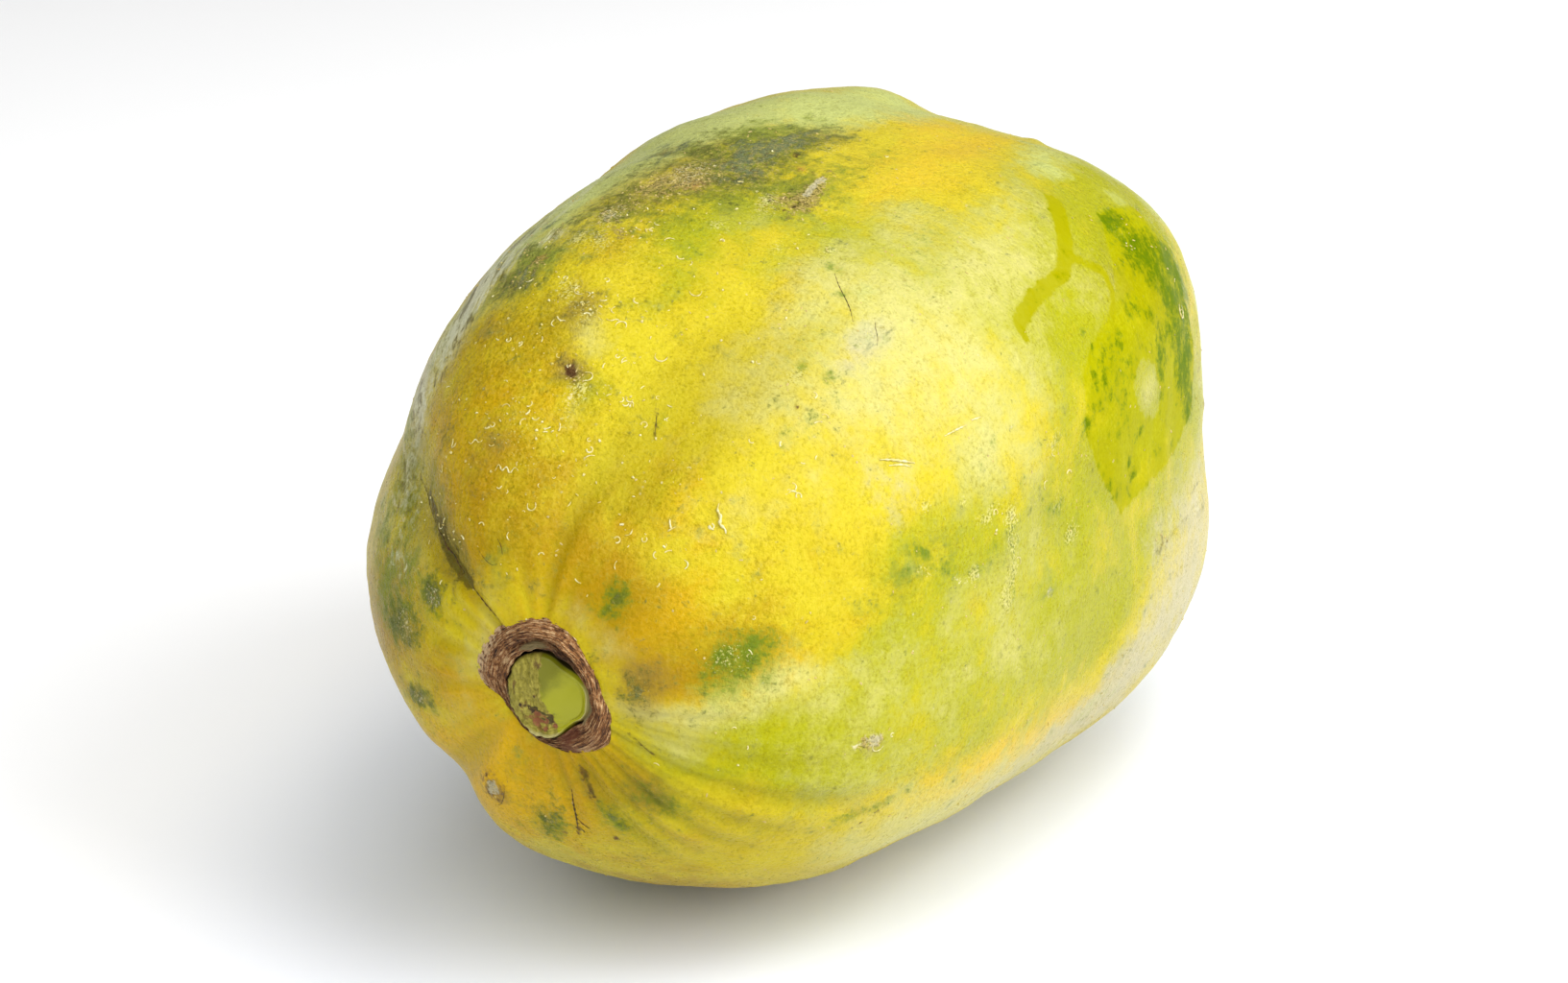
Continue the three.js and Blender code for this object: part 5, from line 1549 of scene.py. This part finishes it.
# Where latex beads grow: soft patches as on the skin.
BEAD_PATCHES = (
    (32, 100, 26, 22, 1), (22, 122, 16, 10, 0.9), (26, 60, 22, 14, 0.55), (20, 100, 14, 10, 0.8),
    (50, 88, 14, 12, 0.7), (18, 345, 12, 8, 0.3), (60, 95, 12, 10, 0.6), (34, 345, 3, 2, 0.9),
    (30, 20, 24, 12, 0.12), (18, 14, 6, 4, 0.7), (70, 45, 60, 50, 0.06), (80, 200, 60, 40, 0.12),
    (54.5, 15.6, 4, 3, 1), (48, 9.6, 4, 2.4, 0.9), (55.6, 8.6, 3, 3, 0.9), (53.6, 3.6, 3, 4, 0.9),
    (70, 15, 20, 10, 0.25),
)
# Shapes of a bead: the sweep of each arc in radians, and its tube's radius and its own, in bead radii.
BEAD_SHAPES = (
    (4.6, 0.22, 0.8), (2.6, 0.24, 1.1), (1.2, 0.28, 1.4), (0.6, 0.32, 1.7), (0.3, 0.42, 1.6), (0.2, 0.5, 1.2),
    (0.9, 0.2, 2.4), (0.5, 0.5, 1.0),
)
# The least space between beads and between flakes, in metres.
BEAD_SPACING, FLAKE_SPACING = 0.0008, 0.0007
# How far a strand's middle and a crack's stand off the skin, in half widths.
STRAND_LIFT, CRACK_LIFT = 0.5, -0.25


class PAPAYA_OT_latex(Operator):
    """Scatters dried latex beads and crust flakes over the skin, and lays latex strands and fine cracks"""

    bl_idname = "papaya.latex"
    bl_label = "Latex and flakes"

    def execute(self, context):
        settings, on_skin = context.scene.papaya_latex, context.scene.papaya_skin
        skin = bpy.data.objects["fruit_skin"]
        self.add_densities(skin)
        latex = latex_material(settings)
        beads = self.bead_tree(settings, latex).grown_on(skin, "latex_beads")
        flakes = self.flake_tree(settings, flake_material(on_skin)).grown_on(skin, "crust_flakes")
        curls = tuple((half_width, curl(*where)) for half_width, *where in LATEX_CURLS)
        lines = LATEX_STRANDS + curls
        strands = self.strands("latex_strands", lines, STRAND_LIFT, on_skin.undulation, latex)
        dark = crack_material(on_skin)
        cracks = self.strands("fine_cracks", CRACKS, CRACK_LIFT, on_skin.undulation, dark)
        for piece in (beads, flakes, strands, cracks):
            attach(piece, "root")
        return {"FINISHED"}

    @staticmethod
    def add_densities(skin):
        """Where beads and flakes grow, as values on the skin."""
        points = corners_of(skin.data) / MM - CENTRE
        crust = np.empty(len(points), np.float32)
        skin.data.attributes["crust"].data.foreach_get("value", crust)
        broad, small = ripples(points, 16, 31), ripples(points, 6, 32)
        clumps = 0.15 + smooth(-0.3, 0.6, broad) * smooth(-0.6, 0.4, small)
        add_values(skin, {
            "bead_density": patch_field(points, BEAD_PATCHES) ** 1.5 * clumps,
            "flake_density": smooth(0.15, 1.1, crust + 0.3 * ripples(points, 5, 33)),
        })

    @staticmethod
    def bead_tree(settings, latex):
        """Small raised arcs and rings of latex."""
        grow = Scatter("latex_beads")
        density = grow.input("Density", "NodeSocketFloat", settings.beads)
        size = grow.input("Size", "NodeSocketFloat", settings.bead_size)
        seed = grow.input("Seed", "NodeSocketInt", settings.seed)
        points, turn = grow.sprinkle("bead_density", density, seed, BEAD_SPACING)
        shapes = grow.tree.nodes.new("GeometryNodeGeometryToInstance")
        for sweep, width, stretch in BEAD_SHAPES:
            bend = {"Resolution": 9, "Radius": stretch, "Sweep Angle": sweep}
            arc = grow.node("GeometryNodeCurveArc", {"mode": "RADIUS"}, bend)
            section = {"Resolution": 5, "Radius": width}
            ring = grow.node("GeometryNodeCurvePrimitiveCircle", {"mode": "RADIUS"}, section)
            sides = {"Curve": arc, "Profile Curve": ring, "Fill Caps": True}
            tube = grow.node("GeometryNodeCurveToMesh", None, sides)
            grow.tree.links.new(tube, shapes.inputs[0])
        spin = grow.node("ShaderNodeCombineXYZ", None, {"Z": grow.random(0.0, 2 * math.pi, 3)})
        growth = grow.random(0.55, 1.5, 5)
        sized = grow.times(grow.times(growth, growth), size)
        grow.finish(points, shapes.outputs[0], grow.turned(turn, spin), sized, latex, pick=True)
        return grow

    @staticmethod
    def flake_tree(settings, material):
        """Tiny uneven flakes that lie on the crusts."""
        grow = Scatter("crust_flakes")
        density = grow.input("Density", "NodeSocketFloat", settings.flakes)
        seed = grow.input("Seed", "NodeSocketInt", settings.seed)
        points, turn = grow.sprinkle("flake_density", density, seed, FLAKE_SPACING)
        grain = grow.node("GeometryNodeMeshIcoSphere", None, {"Radius": MM, "Subdivisions": 1})
        tilt = grow.random((-0.5, -0.5, 0.0), (0.5, 0.5, 6.28), 8)
        size = grow.random((0.12, 0.1, 0.06), (0.5, 0.26, 0.14), 9)
        grow.finish(points, grain, grow.turned(turn, tilt), size, material)
        return grow

    @staticmethod
    def strands(name, lines, lift, undulation, material):
        """Thin strands along their routes on the skin, tapered at both ends."""
        curve = bpy.data.curves.new(name, "CURVE")
        curve.dimensions = "3D"
        for half_width, places in lines:
            down, around = (eased_line(line) for line in route(places, 0.3))
            stands = relief(down, around, undulation) + lift * half_width
            line = to_frame(skin_point(down, around, stands))
            spline = curve.splines.new("POLY")
            spline.points.add(len(line) - 1)
            taper = np.sin(np.linspace(0.25, math.pi - 0.25, len(line)))
            uneven = 0.75 + 0.25 * np.sin(np.arange(len(line)) * 1.7)
            for point, place, width in zip(spline.points, line, taper * uneven):
                point.co = (*place, 1)
                point.radius = half_width * width
        curve.bevel_depth = MM
        curve.bevel_resolution = 1
        curve.use_fill_caps = True
        drawn = add_object(name + "_lines", curve)
        mesh = evaluated_mesh(drawn)
        mesh.materials.clear()
        mesh.materials.append(material)
        bpy.data.objects.remove(drawn)
        return add_object(name, mesh)


# Each light's place and width, in metres.
LIGHTS = {
    "key": ((0.7, -0.3, 1.3), 0.9),
    "front": ((0.2, -1.4, 1.3), 1.8),
    "side": ((1.5, 0.1, 0.9), 1.6),
    "back": ((0.1, 0.8, 1.4), 1.2),
}
FLOOR_REACH = 3.0
# How far left of the fruit's centre and how far below it the camera aims.
AIM_LEFT, AIM_BELOW = 3.7 * MM, 1.8 * MM


class PAPAYA_OT_studio(Operator):
    """Makes the white floor, the soft lights and the camera"""

    bl_idname = "papaya.studio"
    bl_label = "Studio"

    def execute(self, context):
        settings = context.scene.papaya_studio
        self.floor(settings)
        self.lights(context.scene, settings)
        self.camera(context.scene, settings)
        context.scene.view_settings.view_transform = "Standard"
        return {"FINISHED"}

    @staticmethod
    def floor(settings):
        corners = [(x * FLOOR_REACH, y * FLOOR_REACH, 0) for x, y in ((-1, -1), (1, -1), (1, 1), (-1, 1))]
        mesh = bpy.data.meshes.new("studio_floor")
        mesh.from_pydata(corners, [], [(0, 1, 2, 3)])
        mesh.materials.append(paper_material(settings))
        floor = add_object("studio_floor", mesh)

    @staticmethod
    def lights(scene, settings):
        world = bpy.data.worlds.new("studio")
        world.use_nodes = True
        background = world.node_tree.nodes["Background"]
        background.inputs["Color"].default_value = (1, 1, 1, 1)
        background.inputs["Strength"].default_value = settings.fill
        scene.world = world
        target = Vector(to_frame(np.zeros(3)))
        for name, (place, size) in LIGHTS.items():
            light = bpy.data.lights.new(name + "_light", "AREA")
            light.shape = "DISK"
            light.size = size
            light.energy = getattr(settings, name)
            lamp = add_object(light.name, light)
            lamp.location = place
            lamp.rotation_euler = (target - Vector(place)).to_track_quat("-Z", "Y").to_euler()

    @staticmethod
    def camera(scene, settings):
        """Looks at a point a little below and left of the fruit's centre."""
        azimuth, elevation = settings.azimuth, settings.elevation
        level = math.cos(elevation)
        back = Vector((math.sin(azimuth) * level, -math.cos(azimuth) * level, math.sin(elevation)))
        right = Vector((math.cos(azimuth), math.sin(azimuth), 0))
        target = Vector(to_frame(np.zeros(3))) - right * AIM_LEFT - back.cross(right) * AIM_BELOW
        data = bpy.data.cameras.new("camera")
        data.lens = settings.lens
        data.sensor_width = 36
        data.clip_start = 0.01
        camera = add_object("camera", data)
        camera.location = target + back * settings.distance
        camera.rotation_euler = back.to_track_quat("Z", "Y").to_euler()
        scene.camera = camera


class PAPAYA_PT_panel(Panel):
    """Lists the papaya's pieces and settings."""

    bl_idname = "PAPAYA_PT_panel"
    bl_label = "Papaya"
    bl_space_type = "VIEW_3D"
    bl_region_type = "UI"
    bl_category = "Papaya"

    def draw(self, context):
        for operator in OPERATORS:
            self.layout.operator(operator.bl_idname)
        for name in SETTINGS:
            group = getattr(context.scene, name)
            box = self.layout.box()
            for prop in group.bl_rna.properties:
                if prop.identifier not in ("rna_type", "name"):
                    box.prop(group, prop.identifier)


SETTINGS = {
    "papaya_skin": PapayaSkin,
    "papaya_scar": PapayaScar,
    "papaya_latex": PapayaLatex,
    "papaya_studio": PapayaStudio,
}
OPERATORS = (PAPAYA_OT_skin, PAPAYA_OT_scar, PAPAYA_OT_stub, PAPAYA_OT_latex, PAPAYA_OT_studio)


def register():
    for group in (*SETTINGS.values(), *OPERATORS, PAPAYA_PT_panel):
        bpy.utils.register_class(group)
    for name, group in SETTINGS.items():
        setattr(bpy.types.Scene, name, PointerProperty(type=group))


def unregister():
    for name in SETTINGS:
        delattr(bpy.types.Scene, name)
    for group in reversed((*SETTINGS.values(), *OPERATORS, PAPAYA_PT_panel)):
        bpy.utils.unregister_class(group)


def main():
    register()
    bpy.ops.papaya.skin()
    bpy.ops.papaya.scar()
    bpy.ops.papaya.stub()
    bpy.ops.papaya.latex()
    bpy.ops.papaya.studio()


if __name__ == "__main__":
    main()
